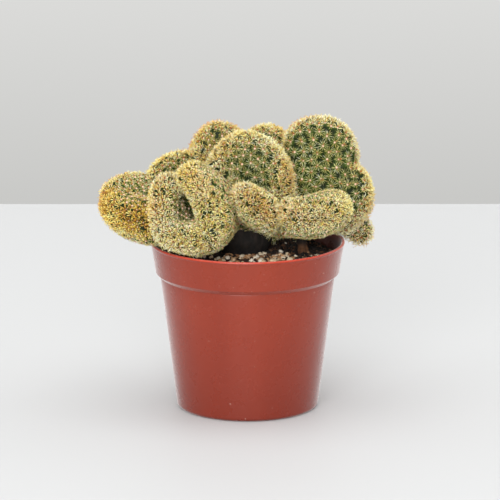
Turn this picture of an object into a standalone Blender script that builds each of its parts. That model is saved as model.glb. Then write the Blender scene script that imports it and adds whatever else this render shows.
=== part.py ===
"""Brain cactus in a plastic nursery pot.

The plant is the crested form of a finger-stemmed pincushion cactus. Its growing tips have
widened into ridges, so it grows as thick sheets that fold against each other like a brain.
Sizes are in millimetres. The origin is on the surface under the middle of the pot,
+Z is up, and the side seen in the photograph faces -Y.
"""
import math
import random

import bmesh
import bpy
from mathutils import Quaternion, Vector
from mathutils.bvhtree import BVHTree
from mathutils.kdtree import KDTree

MM = 0.001
GAP = 0.3
WELD = 0.005

# Pot: a thin moulded cone with a stepped rim. Its floor is raised between a foot ring and a flat middle.
POT_HEIGHT = 75.2
POT_SIDES = 56
WALL = 1.0
FOOT_RADIUS = 31.6
FOOT_ROUNDING = 1.4
FOOT_RING_WIDTH = 3.0
FOOT_DISC_RADIUS = 9.0
FOOT_RECESS = 2.0
FOOT_SLOPE = 1.0
FLOOR_TOP = 3.2
FLOOR_ROUNDING = 1.5
STEP_HEIGHT = 59.2
STEP_RADIUS = 38.7
STEP_ROUNDING = 0.5
RIM_HEIGHT = 61.6
RIM_RADIUS = 40.9
RIM_INNER_RADIUS = 39.8
LIP_RADIUS = 43.2
LIP_BEAD = 0.7
SHARP_ANGLE = math.radians(35)
DRAIN_COUNT = 6
DRAIN_RADIUS = 3.2
DRAIN_CIRCLE_RADIUS = 19.0
DRAIN_SIDES = 10

# Soil: fills the pot to a little under its rim, with grit on top and a plain hole for the root collar.
SOIL_SEED = 7
SOIL_TOP = 68.5
SOIL_SIDES = 36
SOIL_RINGS = 5
SOIL_ROUGHNESS = 0.6
SOCKET_RADIUS = 10.6
SOCKET_DEPTH = 14.0
GRAIN_COUNT = 48
GRAIN_RADIUS = (0.8, 1.6)
GRAIN_UNEVENNESS = (0.75, 1.15)
GRAIN_FLATNESS = 0.75
GRAIN_COLLAR_CLEARANCE = 3.0
GRAIN_WALL_CLEARANCE = 2.5

# Root collar and heart: the woody foot of the plant, as (radius, height), and the old stem above it
# that the folds grow out of on all sides.
COLLAR_CENTRE = (-1.0, 9.0)
COLLAR_PROFILE = [(9.0, 54.8), (9.6, 62.0), (10.2, 69.0), (12.5, 76.0), (9.0, 86.0)]
COLLAR_SIDES = 20
HEART_CENTRE = (0.0, 9.0, 88.0)
HEART_RADII = (38.0, 13.0, 12.0)

# Crest: the table of folds gives its outline with the coat of spines, and the body lies this far inside.
CREST_SEED = 7
SPINE_COVER = 0.8
FOLD_STEP = 2.0
CURVE_STEPS = 200
TANGENT_STEP = 0.01
NECK_RATE = 1.6
FINE_VOXEL = 1.0
FINE_SMOOTHING = 3
PATCH = 4.1
PATCH_RELAXING = 4

# Tubercles and spines: blunt points with furrows between them, and a spine beside the tip of most.
TUBERCLE_SPACING = 5.0
TUBERCLE_RISE = 0.9
FURROW_DEPTH = 0.45
SPINE_SPACING = 6.2
SPINE_LENGTH = (3.0, 4.0)
SPINE_ROOT_RADIUS = 0.35
SPINE_TILT = math.radians(35)
SPINE_FOOT_SHIFT = 0.35
SPINE_CLEARANCE = 1.2
LOWEST_SPINE = 74.5

# Each fold of the crest is a thick sheet between its rounded ridge and its root.
# A ridge point is x, y, z and the ridge's radius. A root point is x, y, z and half the sheet's thickness.
FOLDS = {
    "left_upper": (
        [(-38, 16, 91, 8.5), (-46, 15.5, 94, 8.5), (-52.5, 12, 95, 8.5), (-57.5, 5, 94, 8.5)],
        [(-20, 10, 78, 8), (-32, 5, 80, 8)],
    ),
    "left_lower": (
        [(-57, 3, 91.5, 9), (-56, -4, 90, 9.5), (-50.5, -9.5, 87.5, 10.5), (-43.5, -13, 86.3, 11)],
        [(-34, 6, 82, 6.5), (-24, 2, 80, 8)],
    ),
    "coil_left": (
        [
            (-30, -9, 101.3, 6.5),
            (-35.6, -13.5, 101.8, 7),
            (-36.9, -19.5, 94, 7.2),
            (-34.6, -24, 84.6, 7.3),
            (-25, -27, 82, 8),
        ],
        [(-22, 2, 97, 5), (-20, 1, 91, 5), (-18, 0, 86, 6)],
    ),
    "coil_right": (
        [
            (-23, -16, 106.3, 8.7),
            (-18.3, -21, 101.3, 9.2),
            (-14.6, -25.5, 92.8, 9.5),
            (-15.8, -27.3, 85.2, 9.3),
            (-22, -27, 82.2, 8.7),
        ],
        [(-12, 0, 94, 8), (-10, -1, 84, 7)],
    ),
    "back_left": (
        [(-39.5, 17, 95.5, 8.5), (-36, 19, 100.5, 8.5), (-30, 20, 103.5, 8.5), (-22, 20, 103, 8)],
        [(-28, 12, 76, 8), (-16, 12, 76, 8)],
    ),
    "upper_left": (
        [
            (-16, 19, 100, 8),
            (-18.4, 22, 107, 8.5),
            (-17, 24, 113, 8.5),
            (-12.5, 25, 116, 8.5),
            (-6.5, 26, 113, 8),
        ],
        [(-14, 12, 80, 8), (-4, 12, 78, 8)],
    ),
    "centre": (
        [
            (-10.5, 0, 96, 8),
            (-11.5, 1, 103, 8.5),
            (-9.5, 3, 109.5, 8.5),
            (-3, 5, 115, 9),
            (5, 6, 113, 9),
            (10.5, 5, 106.5, 9.5),
            (12.5, 2, 98, 9.5),
            (11, 0, 91, 9),
        ],
        [(-7, 6, 84, 10), (6, 6, 82, 10)],
    ),
    "centre_back": (
        [(3, 27, 111, 8.5), (9, 28, 114, 8.5), (13, 26, 110, 8), (14, 24, 103, 8)],
        [(0, 14, 78, 8), (10, 14, 78, 8)],
    ),
    "right": (
        [
            (24, 15, 102, 8.5),
            (23.8, 17, 110.5, 9),
            (25.7, 18, 117.5, 9),
            (35.5, 18, 118.2, 9.5),
            (40.8, 17, 111.3, 9.3),
            (39.5, 15, 102, 9),
        ],
        [(25, 10, 88, 9), (36, 9, 86, 9)],
    ),
    "right_lower": (
        [(43, 14, 101, 8.5), (47, 12, 97, 9), (46.5, 9, 90, 9.5), (42, 7, 85, 9)],
        [(30, 11, 88, 8), (26, 7, 80, 8)],
    ),
    "right_foot": (
        [(38, 19, 88, 7.5), (45.5, 17.5, 82, 7.5), (49.5, 14.7, 76.2, 7.2)],
        [(28, 12, 87, 8), (31, 8, 89.5, 5.5)],
    ),
    "front_left": (
        [(-0.5, -20, 98, 8.5), (4, -22, 95, 9.5), (9, -21, 91.5, 9)],
        [(2, -4, 88, 6), (10, -3, 86, 6)],
    ),
    "front_right": (
        [(18.5, -21, 91, 9), (24, -23, 90.8, 10.3), (31, -23, 91.8, 10.8), (36.3, -20, 93.3, 10.2)],
        [(12, -3, 84, 6), (22, -2, 84, 6)],
    ),
    "rear_left": (
        [(-40, 26, 87, 8.5), (-32, 35, 91, 9), (-20, 40, 94, 9.5), (-10, 38, 96, 9)],
        [(-24, 14, 80, 8), (-10, 16, 78, 8)],
    ),
    "rear_middle": (
        [(-12, 36, 88, 9), (-3, 44, 92, 9.5), (8, 46, 96, 9.5), (14, 38, 98, 9)],
        [(-8, 16, 76, 8), (6, 16, 76, 8)],
    ),
    "rear_right": (
        [(18, 34, 100, 9), (27, 38, 98, 9.5), (36, 34, 93, 9.5), (42, 27, 88, 9)],
        [(10, 16, 78, 8), (22, 12, 81, 8)],
    ),
}

COLOURS = {
    "pot": ((0.36, 0.075, 0.04, 1), 0.42),
    "soil": ((0.035, 0.024, 0.018, 1), 0.95),
    "crest": ((0.42, 0.36, 0.12, 1), 0.8),
}


def clear_scene():
    for obj in list(bpy.data.objects):
        bpy.data.objects.remove(obj)


def dress(obj, name):
    """Gives an object its one material, with the colour and roughness seen in the photograph."""
    colour, roughness = COLOURS[name]
    material = bpy.data.materials.new(name)
    material.use_nodes = True
    shader = material.node_tree.nodes["Principled BSDF"]
    shader.inputs["Base Color"].default_value = colour
    shader.inputs["Roughness"].default_value = roughness
    shader.inputs["Metallic"].default_value = 0.0
    material.diffuse_color = colour
    obj.data.materials.clear()
    obj.data.materials.append(material)


def scale_verts(bm, factor):
    bmesh.ops.scale(bm, vec=(factor, factor, factor), verts=bm.verts)


def add_object(name, bm):
    """Puts a bmesh in millimetres into the scene as an object in metres."""
    obj = bpy.data.objects.new(name, bpy.data.meshes.new(name))
    bpy.context.scene.collection.objects.link(obj)
    put_back(bm, obj)
    return obj


def in_millimetres(obj):
    """An object's mesh as a bmesh in millimetres."""
    bm = bmesh.new()
    bm.from_mesh(obj.data)
    scale_verts(bm, 1 / MM)
    return bm


def put_back(bm, obj):
    """Puts a bmesh in millimetres into an object's mesh, and frees it."""
    scale_verts(bm, MM)
    bm.to_mesh(obj.data)
    bm.free()


def surface_tree(obj):
    """A search tree over an object's surface, in millimetres."""
    bm = in_millimetres(obj)
    tree = BVHTree.FromBMesh(bm)
    bm.free()
    return tree


def apply_modifier(obj, kind, **settings):
    """Adds a modifier, replaces the object's mesh with the result, and removes the modifier."""
    modifier = obj.modifiers.new(kind.lower(), kind)
    for name, value in settings.items():
        setattr(modifier, name, value)
    bpy.context.view_layer.update()
    graph = bpy.context.evaluated_depsgraph_get()
    changed = bpy.data.meshes.new_from_object(obj.evaluated_get(graph))
    obj.modifiers.remove(modifier)
    obj.data = changed


def apply_boolean(obj, others, operation, solver="EXACT"):
    """Joins the other objects to obj, or cuts them from it, and removes them."""
    tools = bpy.data.collections.new("tools")
    for other in others:
        tools.objects.link(other)
    settings = {"operand_type": "COLLECTION", "collection": tools, "operation": operation, "solver": solver}
    apply_modifier(obj, "BOOLEAN", **settings)
    for other in others:
        bpy.data.objects.remove(other)
    bpy.data.collections.remove(tools)


def keep_outer_shell(obj):
    """Fills what a union has sealed inside it and drops loose scraps: only the largest shell stays."""
    bm = in_millimetres(obj)
    bmesh.ops.triangulate(bm, faces=bm.faces)
    bmesh.ops.remove_doubles(bm, verts=bm.verts, dist=WELD)
    left = set(bm.faces)
    shells = []
    while left:
        front = {left.pop()}
        shell = set(front)
        while front:
            edges = {edge for face in front for edge in face.edges if len(edge.link_faces) == 2}
            front = {face for edge in edges for face in edge.link_faces} - shell
            shell |= front
        left -= shell
        shells.append(shell)
    shells.sort(key=len)
    scraps = [face for shell in shells[:-1] for face in shell]
    bmesh.ops.delete(bm, geom=scraps, context="FACES")
    put_back(bm, obj)


def spread(points, spacing, rng):
    """Picks points at random, none closer than the spacing, until each point is that close to one of them."""
    tree = KDTree(len(points))
    for index, point in enumerate(points):
        tree.insert(point, index)
    tree.balance()
    order = list(range(len(points)))
    rng.shuffle(order)
    taken, picked = set(), []
    for index in order:
        if index not in taken:
            picked.append(index)
            taken.update(near for _, near, _ in tree.find_range(points[index], spacing))
    return picked


def circle(sides):
    """Evenly spaced directions round +Z."""
    angles = [2 * math.pi * k / sides for k in range(sides)]
    return [Vector((math.cos(a), math.sin(a), 0)) for a in angles]


def add_ring(bm, radius, height, sides, centre=(0, 0)):
    """A ring of corners about an upright axis, or the one corner on it where the radius is zero."""
    middle = Vector((*centre, height))
    if radius == 0:
        return [bm.verts.new(middle)]
    return [bm.verts.new(middle + way * radius) for way in circle(sides)]


def bridge(bm, low, high):
    """Faces between two rings with the same number of corners, or between a ring and one corner."""
    sides = max(len(low), len(high))
    for k in range(sides):
        after = (k + 1) % sides
        corners = [low[k % len(low)], low[after % len(low)], high[after % len(high)], high[k % len(high)]]
        bm.faces.new(dict.fromkeys(corners))


def turned(name, profile, sides, centre=(0, 0)):
    """A solid turned about an upright axis, from a profile of (radius, height) points between two on it."""
    bm = bmesh.new()
    rings = [add_ring(bm, radius, height, sides, centre) for radius, height in profile]
    for low, high in zip(rings, rings[1:]):
        bridge(bm, low, high)
    bmesh.ops.recalc_face_normals(bm, faces=bm.faces)
    return add_object(name, bm)


def arc(centre, radius, start, end, points):
    """Points of a circular arc, with angles in degrees."""
    angles = [math.radians(start + (end - start) * k / (points - 1)) for k in range(points)]
    return [(centre[0] + radius * math.cos(a), centre[1] + radius * math.sin(a)) for a in angles]


def inner_radius(height):
    """The pot's inner radius at a height, below its rim."""
    return FOOT_RADIUS + (STEP_RADIUS - FOOT_RADIUS) * height / STEP_HEIGHT - WALL


def pot_profile():
    """The pot in section: under its floor, up the outside, over the lip and down the inside to the floor."""
    ring_inner = FOOT_RADIUS - FOOT_RING_WIDTH
    under = [
        (0, 0),
        (FOOT_DISC_RADIUS, 0),
        (FOOT_DISC_RADIUS + FOOT_SLOPE, FOOT_RECESS),
        (ring_inner - FOOT_SLOPE, FOOT_RECESS),
        (ring_inner, 0),
    ]
    foot = arc((FOOT_RADIUS - FOOT_ROUNDING, FOOT_ROUNDING), FOOT_ROUNDING, -90, 0, 4)
    step = [
        (STEP_RADIUS, STEP_HEIGHT),
        (RIM_RADIUS - STEP_ROUNDING, RIM_HEIGHT - STEP_ROUNDING),
        (RIM_RADIUS, RIM_HEIGHT + STEP_ROUNDING),
    ]
    lip = arc((LIP_RADIUS - LIP_BEAD, POT_HEIGHT - LIP_BEAD), LIP_BEAD, -60, 180, 6)
    inside = [
        (RIM_INNER_RADIUS, RIM_HEIGHT + WALL),
        (STEP_RADIUS - WALL, STEP_HEIGHT),
        (inner_radius(FLOOR_TOP + FLOOR_ROUNDING), FLOOR_TOP + FLOOR_ROUNDING),
        (inner_radius(FLOOR_TOP) - FLOOR_ROUNDING, FLOOR_TOP),
        (0, FLOOR_TOP),
    ]
    return under + foot + step + lip + inside


def make_pot():
    pot = turned("pot", pot_profile(), POT_SIDES)
    drill = [(0, -FLOOR_TOP), (DRAIN_RADIUS, -FLOOR_TOP), (DRAIN_RADIUS, 2 * FLOOR_TOP), (0, 2 * FLOOR_TOP)]
    places = [way.xy * DRAIN_CIRCLE_RADIUS for way in circle(DRAIN_COUNT)]
    drills = [turned("drill", drill, DRAIN_SIDES, place) for place in places]
    apply_boolean(pot, drills, "DIFFERENCE")
    dress(pot, "pot")
    pot.data.shade_smooth()
    pot.data.set_sharp_from_angle(angle=SHARP_ANGLE)
    return pot


def soil_rings(bm, rng):
    """Rings of corners up the soil's side, in over its rough top and down the hole for the collar."""
    low, high = FLOOR_TOP + GAP, SOIL_TOP - SOIL_ROUGHNESS
    sides = [
        (inner_radius(low) - FLOOR_ROUNDING - GAP, low),
        (inner_radius(low + FLOOR_ROUNDING) - GAP, low + FLOOR_ROUNDING),
        (inner_radius(STEP_HEIGHT) - GAP, STEP_HEIGHT - GAP),
        (RIM_INNER_RADIUS - GAP, RIM_HEIGHT + WALL + GAP),
        (RIM_INNER_RADIUS - GAP, high),
    ]
    rings = [add_ring(bm, radius, height, SOIL_SIDES) for radius, height in sides]
    outer = RIM_INNER_RADIUS - GAP
    for ring in range(1, SOIL_RINGS + 1):
        share = ring / SOIL_RINGS
        centre = Vector(COLLAR_CENTRE) * share
        corners = add_ring(bm, outer + (SOCKET_RADIUS - outer) * share, SOIL_TOP, SOIL_SIDES, centre)
        if ring < SOIL_RINGS:
            for corner in corners:
                corner.co.z += rng.uniform(-SOIL_ROUGHNESS, SOIL_ROUGHNESS)
        rings.append(corners)
    rings.append(add_ring(bm, SOCKET_RADIUS, SOIL_TOP - SOCKET_DEPTH, SOIL_SIDES, COLLAR_CENTRE))
    return rings


def make_soil(rng):
    """The root ball: it fills the pot, its top is rough, and grit stands out of it."""
    bm = bmesh.new()
    rings = soil_rings(bm, rng)
    for low, high in zip(rings, rings[1:]):
        bridge(bm, low, high)
    bm.faces.new(rings[0])
    bm.faces.new(rings[-1])
    bmesh.ops.recalc_face_normals(bm, faces=bm.faces)
    soil = add_object("soil", bm)
    grains = [make_grain(rng) for _ in range(GRAIN_COUNT)]
    apply_boolean(soil, grains, "UNION", "MANIFOLD")
    keep_outer_shell(soil)
    dress(soil, "soil")
    return soil


def make_grain(rng):
    """A stone chip half sunk in the soil, between the plant's collar and the pot's wall."""
    size = rng.uniform(*GRAIN_RADIUS)
    collar = Vector(COLLAR_CENTRE)
    place = collar
    while (place - collar).length < SOCKET_RADIUS + GRAIN_COLLAR_CLEARANCE:
        away = math.sqrt(rng.random()) * (RIM_INNER_RADIUS - GRAIN_WALL_CLEARANCE)
        angle = rng.uniform(0, 2 * math.pi)
        place = Vector((math.cos(angle), math.sin(angle))) * away
    bm = bmesh.new()
    bmesh.ops.create_icosphere(bm, subdivisions=1, radius=size)
    for vert in bm.verts:
        vert.co *= rng.uniform(*GRAIN_UNEVENNESS)
        vert.co.z *= GRAIN_FLATNESS
    bmesh.ops.translate(bm, vec=(*place, SOIL_TOP + size / 4), verts=bm.verts)
    return add_object("grain", bm)


def smooth_point(points, t):
    """A Catmull-Rom curve through points of any dimension, for t from 0 to 1."""
    spans = len(points) - 1
    span = min(int(t * spans), spans - 1)
    u = t * spans - span
    before = points[max(span - 1, 0)]
    here, after = points[span], points[span + 1]
    beyond = points[min(span + 2, spans)]
    return [
        0.5 * (2 * b + (c - a) * u + (2 * a - 5 * b + 4 * c - d) * u * u + (3 * b - a - 3 * c + d) * u ** 3)
        for a, b, c, d in zip(before, here, after, beyond)
    ]


def even_parameters(points, step):
    """Curve parameters whose points lie about one step apart along the curve."""
    places = [Vector(smooth_point(points, k / CURVE_STEPS)[:3]) for k in range(CURVE_STEPS + 1)]
    lengths = [0.0]
    for a, b in zip(places, places[1:]):
        lengths.append(lengths[-1] + (b - a).length)
    count = max(2, round(lengths[-1] / step))
    goals = [lengths[-1] * k / count for k in range(count + 1)]
    nearest = [min(range(CURVE_STEPS + 1), key=lambda n: abs(lengths[n] - goal)) for goal in goals]
    return [n / CURVE_STEPS for n in nearest]


def fold_columns(ridge, root):
    """A fold's cross-sections: ridge and root point, tangent, radius, half thickness, share of end cap."""
    columns = []
    for t in even_parameters(ridge, FOLD_STEP):
        *ridge_point, outline = smooth_point(ridge, t)
        *root_point, thickness = smooth_point(root, t)
        ahead = Vector(smooth_point(ridge, min(t + TANGENT_STEP, 1))[:3])
        behind = Vector(smooth_point(ridge, max(t - TANGENT_STEP, 0))[:3])
        tangent = (ahead - behind).normalized()
        radius = outline - SPINE_COVER
        columns.append((Vector(ridge_point), Vector(root_point), tangent, radius, thickness, 0.0))
    return end_cap(columns[0], -1)[::-1] + columns + end_cap(columns[-1], 1)


def end_cap(column, sign):
    """The cross-sections that round off one end of a fold."""
    top, bottom, tangent, radius, thickness, _ = column
    count = round(radius * math.pi / 2 / FOLD_STEP)
    return [(top, bottom, tangent, radius, thickness, sign * k / count) for k in range(1, count + 1)]


def fold_section(column, side_rows, top_rows):
    """The points of one cross-section: up one face, over the rounded ridge and down the other face."""
    top, bottom, tangent, radius, thickness, cap = column
    shrink = math.cos(math.pi / 2 * cap)
    shift = tangent * math.sin(math.pi / 2 * cap)
    drop = bottom - top
    sideways = tangent.cross(drop).normalized()
    down = (drop - tangent * drop.dot(tangent)).normalized()
    middles, halves = [], []
    for row in range(side_rows, 0, -1):
        depth = row / side_rows
        middles.append(top + drop * depth + shift * (radius + (thickness - radius) * depth))
        halves.append(sideways * (radius + (thickness - radius) * min(1, depth * NECK_RATE)) * shrink)
    up_face = [middle + half for middle, half in zip(middles, halves)]
    down_face = [middle - half for middle, half in zip(middles, halves)][::-1]
    over = []
    for row in range(top_rows + 1):
        angle = math.pi * (0.5 - row / top_rows)
        outward = sideways * math.sin(angle) - down * math.cos(angle)
        over.append(top + shift * radius + outward * radius * shrink)
    return up_face + over + down_face


def make_fold(name, ridge, root):
    """One fold of the crest as a smooth closed mesh."""
    columns = fold_columns(ridge, root)
    drop = sum((column[0] - column[1]).length for column in columns) / len(columns)
    radius = sum(column[3] for column in columns) / len(columns)
    side_rows = max(2, round(drop / FOLD_STEP))
    top_rows = 2 * round(radius * math.pi / 2 / FOLD_STEP)
    bm = bmesh.new()
    sections = [fold_section(column, side_rows, top_rows) for column in columns]
    rings = [[bm.verts.new(point) for point in section] for section in sections]
    for here, after in zip(rings, rings[1:]):
        bridge(bm, here, after)
    bmesh.ops.remove_doubles(bm, verts=bm.verts, dist=WELD)
    bmesh.ops.recalc_face_normals(bm, faces=bm.faces)
    return add_object(name, bm)


def raise_tubercles(fold, rng):
    """Gives a fold patches of even size on its own smooth surface, and raises spread corners of them."""
    apply_modifier(fold, "REMESH", mode="VOXEL", voxel_size=FINE_VOXEL * MM)
    apply_modifier(fold, "SMOOTH", factor=0.5, iterations=FINE_SMOOTHING)
    surface = surface_tree(fold)
    apply_modifier(fold, "REMESH", mode="VOXEL", voxel_size=PATCH * MM)
    keep_outer_shell(fold)
    bm = in_millimetres(fold)
    for _ in range(PATCH_RELAXING):
        axes = {"use_axis_x": True, "use_axis_y": True, "use_axis_z": True}
        bmesh.ops.smooth_vert(bm, verts=bm.verts, factor=0.5, **axes)
        for vert in bm.verts:
            vert.co = surface.find_nearest(vert.co)[0]
    bm.normal_update()
    tubercles = set(spread([vert.co.copy() for vert in bm.verts], TUBERCLE_SPACING, rng))
    moves = [TUBERCLE_RISE if index in tubercles else -FURROW_DEPTH for index in range(len(bm.verts))]
    moves = [vert.normal * move for vert, move in zip(bm.verts, moves)]
    for vert, move in zip(bm.verts, moves):
        vert.co += move
    put_back(bm, fold)


def make_collar():
    """The short woody root collar, upright in its hole in the soil."""
    low, high = COLLAR_PROFILE[0][1], COLLAR_PROFILE[-1][1]
    return turned("crest", [(0, low)] + COLLAR_PROFILE + [(0, high)], COLLAR_SIDES, COLLAR_CENTRE)


def make_heart():
    bm = bmesh.new()
    bmesh.ops.create_icosphere(bm, subdivisions=3, radius=1)
    bmesh.ops.scale(bm, vec=HEART_RADII, verts=bm.verts)
    bmesh.ops.translate(bm, vec=HEART_CENTRE, verts=bm.verts)
    return add_object("heart", bm)


def tubercle_tips(bm):
    """The corners that stand out of their surroundings."""
    tips = []
    for vert in bm.verts:
        around = [edge.other_vert(vert).co for edge in vert.link_edges]
        middle = sum(around, Vector()) / len(around)
        if (vert.co - middle).dot(vert.normal) > TUBERCLE_RISE:
            tips.append(vert)
    return tips


def spine_way(normal, rng):
    """A direction up to the tilt limit from a normal, at random."""
    across = normal.orthogonal().normalized()
    across.rotate(Quaternion(normal, rng.uniform(0, 2 * math.pi)))
    tilt = SPINE_TILT * math.sqrt(rng.random())
    return normal * math.cos(tilt) + across * math.sin(tilt)


def raise_spine(bm, face, foot, tip):
    """Raises a three-sided needle out of a triangle, from its foot to its tip."""
    outer = list(face.verts)
    ring = [bm.verts.new(foot + (corner.co - foot).normalized() * SPINE_ROOT_RADIUS) for corner in outer]
    point = bm.verts.new(tip)
    bm.faces.remove(face)
    for k in range(3):
        after = (k + 1) % 3
        bm.faces.new((outer[k], outer[after], ring[after]))
        bm.faces.new((outer[k], ring[after], ring[k]))
        bm.faces.new((ring[k], ring[after], point))


def add_spines(bm, others, rng):
    """Raises a spine beside the tips of most tubercles, where its way out is clear of plant, pot and soil."""
    plant = BVHTree.FromBMesh(bm)
    tubercles = tubercle_tips(bm)
    tips = []
    for index in spread([vert.co.copy() for vert in tubercles], SPINE_SPACING, rng):
        vert = tubercles[index]
        face = max(vert.link_faces, key=lambda near: near.calc_area())
        foot = face.calc_center_median().lerp(vert.co, SPINE_FOOT_SHIFT)
        way = spine_way(vert.normal, rng)
        length = rng.uniform(*SPINE_LENGTH)
        start, tip = foot + way * TUBERCLE_RISE, foot + way * length
        places = [start, foot.lerp(tip, 0.5), tip]
        blocked = plant.ray_cast(start, way, length + SPINE_CLEARANCE)[0]
        touching = any(tree.find_nearest(place, SPINE_CLEARANCE)[0] for tree in others for place in places)
        crowded = any((tip - other).length < SPINE_CLEARANCE for other in tips)
        if blocked or touching or crowded or foot.z < LOWEST_SPINE:
            continue
        tips.append(tip)
        raise_spine(bm, face, foot, tip)


def make_crest(others, rng):
    """The plant: the folds, the heart and the collar as one body, with tubercles and spines raised on it."""
    folds = [make_fold(name, ridge, root) for name, (ridge, root) in FOLDS.items()]
    for fold in folds:
        raise_tubercles(fold, rng)
    crest = make_collar()
    apply_boolean(crest, folds + [make_heart()], "UNION", "MANIFOLD")
    keep_outer_shell(crest)
    bm = in_millimetres(crest)
    bm.normal_update()
    add_spines(bm, [surface_tree(obj) for obj in others], rng)
    bmesh.ops.recalc_face_normals(bm, faces=bm.faces)
    put_back(bm, crest)
    dress(crest, "crest")
    return crest


def main():
    clear_scene()
    pot = make_pot()
    soil = make_soil(random.Random(SOIL_SEED))
    make_crest([pot, soil], random.Random(CREST_SEED))


main()
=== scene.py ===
"""The looks of a brain cactus in a plastic nursery pot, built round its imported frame.

Shapes are worked out in millimetres and become objects in metres. The frame's own axes are used:
the origin is on the table under the middle of the pot, +Z is up, and the photograph's side faces -Y.
"""
import math
import random

import bmesh
import bpy
import numpy as np
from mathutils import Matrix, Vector, noise
from mathutils.bvhtree import BVHTree
from mathutils.kdtree import KDTree

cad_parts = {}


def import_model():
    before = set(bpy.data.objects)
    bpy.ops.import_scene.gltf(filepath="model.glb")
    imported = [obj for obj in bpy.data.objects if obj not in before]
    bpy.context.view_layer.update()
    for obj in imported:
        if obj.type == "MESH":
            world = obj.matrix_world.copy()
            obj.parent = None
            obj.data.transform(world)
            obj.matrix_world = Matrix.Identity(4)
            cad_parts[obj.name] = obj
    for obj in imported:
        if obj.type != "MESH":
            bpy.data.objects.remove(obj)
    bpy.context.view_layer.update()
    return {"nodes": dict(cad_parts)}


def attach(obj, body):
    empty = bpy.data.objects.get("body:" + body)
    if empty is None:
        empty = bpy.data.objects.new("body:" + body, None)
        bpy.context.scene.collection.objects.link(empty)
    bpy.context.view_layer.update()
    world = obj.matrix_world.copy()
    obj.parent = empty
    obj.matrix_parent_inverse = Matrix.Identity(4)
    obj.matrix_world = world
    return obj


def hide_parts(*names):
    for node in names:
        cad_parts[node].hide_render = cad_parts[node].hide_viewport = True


MM = 0.001
TINY = 1e-9
SEED = 7

# Camera, fitted to the photograph.
CAMERA_PLACE = (0.0, -2.0, 0.5431)
CAMERA_PITCH = math.radians(13.29)
CAMERA_YAW = math.radians(0.031)
CAMERA_LENS = 332.8
CAMERA_SENSOR = 36.0
CAMERA_REACH = 50.0

# Stage and light. Each lamp has its place, its width and its power, and faces the plant.
TABLE_BACK_EDGE = 0.406
TABLE_REACH = 3.0
TABLE_COLOUR = (0.505, 0.51, 0.515, 1)
BACKDROP_LOW = (0.576, 0.576, 0.561, 1)
BACKDROP_HIGH = (0.706, 0.706, 0.692, 1)
BACKDROP_FALL = (-0.2215, -0.177)
LAMP_AIM = (0, 0, 0.07)
LAMPS = {
    "top": ((-0.1, -0.25, 1.5), 1.6, 14),
    "back": ((0.2, 1.7, 1.1), 1.6, 4),
    "front": ((-0.3, -2.2, 0.75), 1.4, 47),
    "left": ((-1.3, 0.4, 0.8), 2.0, 6),
    "right": ((1.3, 0.4, 0.8), 2.0, 10),
}

# Crest: the table of folds gives its outline with the coat of spines. The skin lies this far inside.
SKIN_DEPTH = 1.9
FOLD_STEP = 1.0
CURVE_STEPS = 200
TANGENT_STEP = 0.01
NECK_RATE = 1.6
WELD = 0.005
SKIN_VOXEL = 0.85
SKIN_SMOOTHING = 5
FRONT_CREASE_X = 13.9
FRONT_CREASE_WIDTH = 1.6
FRONT_CREASE_DEPTH = 2.4
FRONT_CREASE_END = (-16.0, -8.0)
HEART_CENTRE = (0.0, 9.0, 88.0)
HEART_RADII = (38.0, 13.0, 12.0)

# Areoles: their spacing grows with the distance from the growing line on top of each ridge.
# A zone is the two distances between which something changes from its value on the ridge.
RIDGE_SPACING = 2.4
RIDGE_ZONE = (2.5, 12.0)
YOUNG_ZONE = (3.0, 10.0)
FRESH_ZONE = (2.0, 9.5)
NEWEST_ZONE = (1.5, 6.5)
LOWEST_AREOLE = 71.0
PICKING_SHARE = 0.8
SMALL_CELL_WEIGHT = -4.0
RELAX_ROUNDS = 6

# Openness: rays from just over the skin tell how free the view is, from 0 in a tight crease to 1.
VIEW_START = 1.0
VIEW_RAYS = 20
VIEW_REACH = 12.0
VIEW_LEAN = 1.02
# The coil's hollow gets less openness than its rays find: it sinks and takes more painted shade.
HOLLOW_CENTRE = (-29.5, -24.0, 93.0)
HOLLOW_RADIUS = 10.0
HOLLOW_SHADE = 0.5

# Tubercles: rounded knobs under the areoles. The skin sinks where the view is tight.
TUBERCLE_RISE = 0.33
TUBERCLE_SINK = 0.35
TUBERCLE_REACH = 0.58
TUBERCLE_ROUNDNESS = 2.2
TUBERCLE_VIEW = (0.1, 0.5)
CREASE_DEPTH = 3.0
CREASE_VIEW = (0.2, 0.62)
BLEND_SOFTNESS = 0.3
FRAME_LOOSENESS = 0.02
AREOLE_NEIGHBOURS = 3

# Radial spines: a low star on the old faces and an upright brush on the young ridges. Lifts are in
# degrees and bends in radians. On undersides the spines are fewer, flatter and longer.
RADIAL_COUNT = 14
RADIAL_COUNT_SPREAD = 1.5
CROWDED_VIEW = 0.3
CROWDED_SHARE = 0.5
TURN_SPREAD = 0.35
FACE_LIFT = (8, 28)
RIDGE_LIFT = (16, 72)
FACE_LENGTH = (0.52, 0.78)
RIDGE_LENGTH = (0.2, 1.2)
FACE_RADIUS = 0.084
RIDGE_RADIUS_GAIN = 0.072
ROOT_OFFSET = 0.28
RIDGE_ROOT_SPREAD = 0.4
ROOT_SINK = 0.15
BEND = 0.68
BEND_ANGLES = (0.12, -0.28)
UNDERSIDE_FEWER = 5
UNDERSIDE_FLATTER = 0.7
UNDERSIDE_LONGER = 0.7
UPRIGHT = 0.9
CLEARANCE = 0.3

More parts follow.
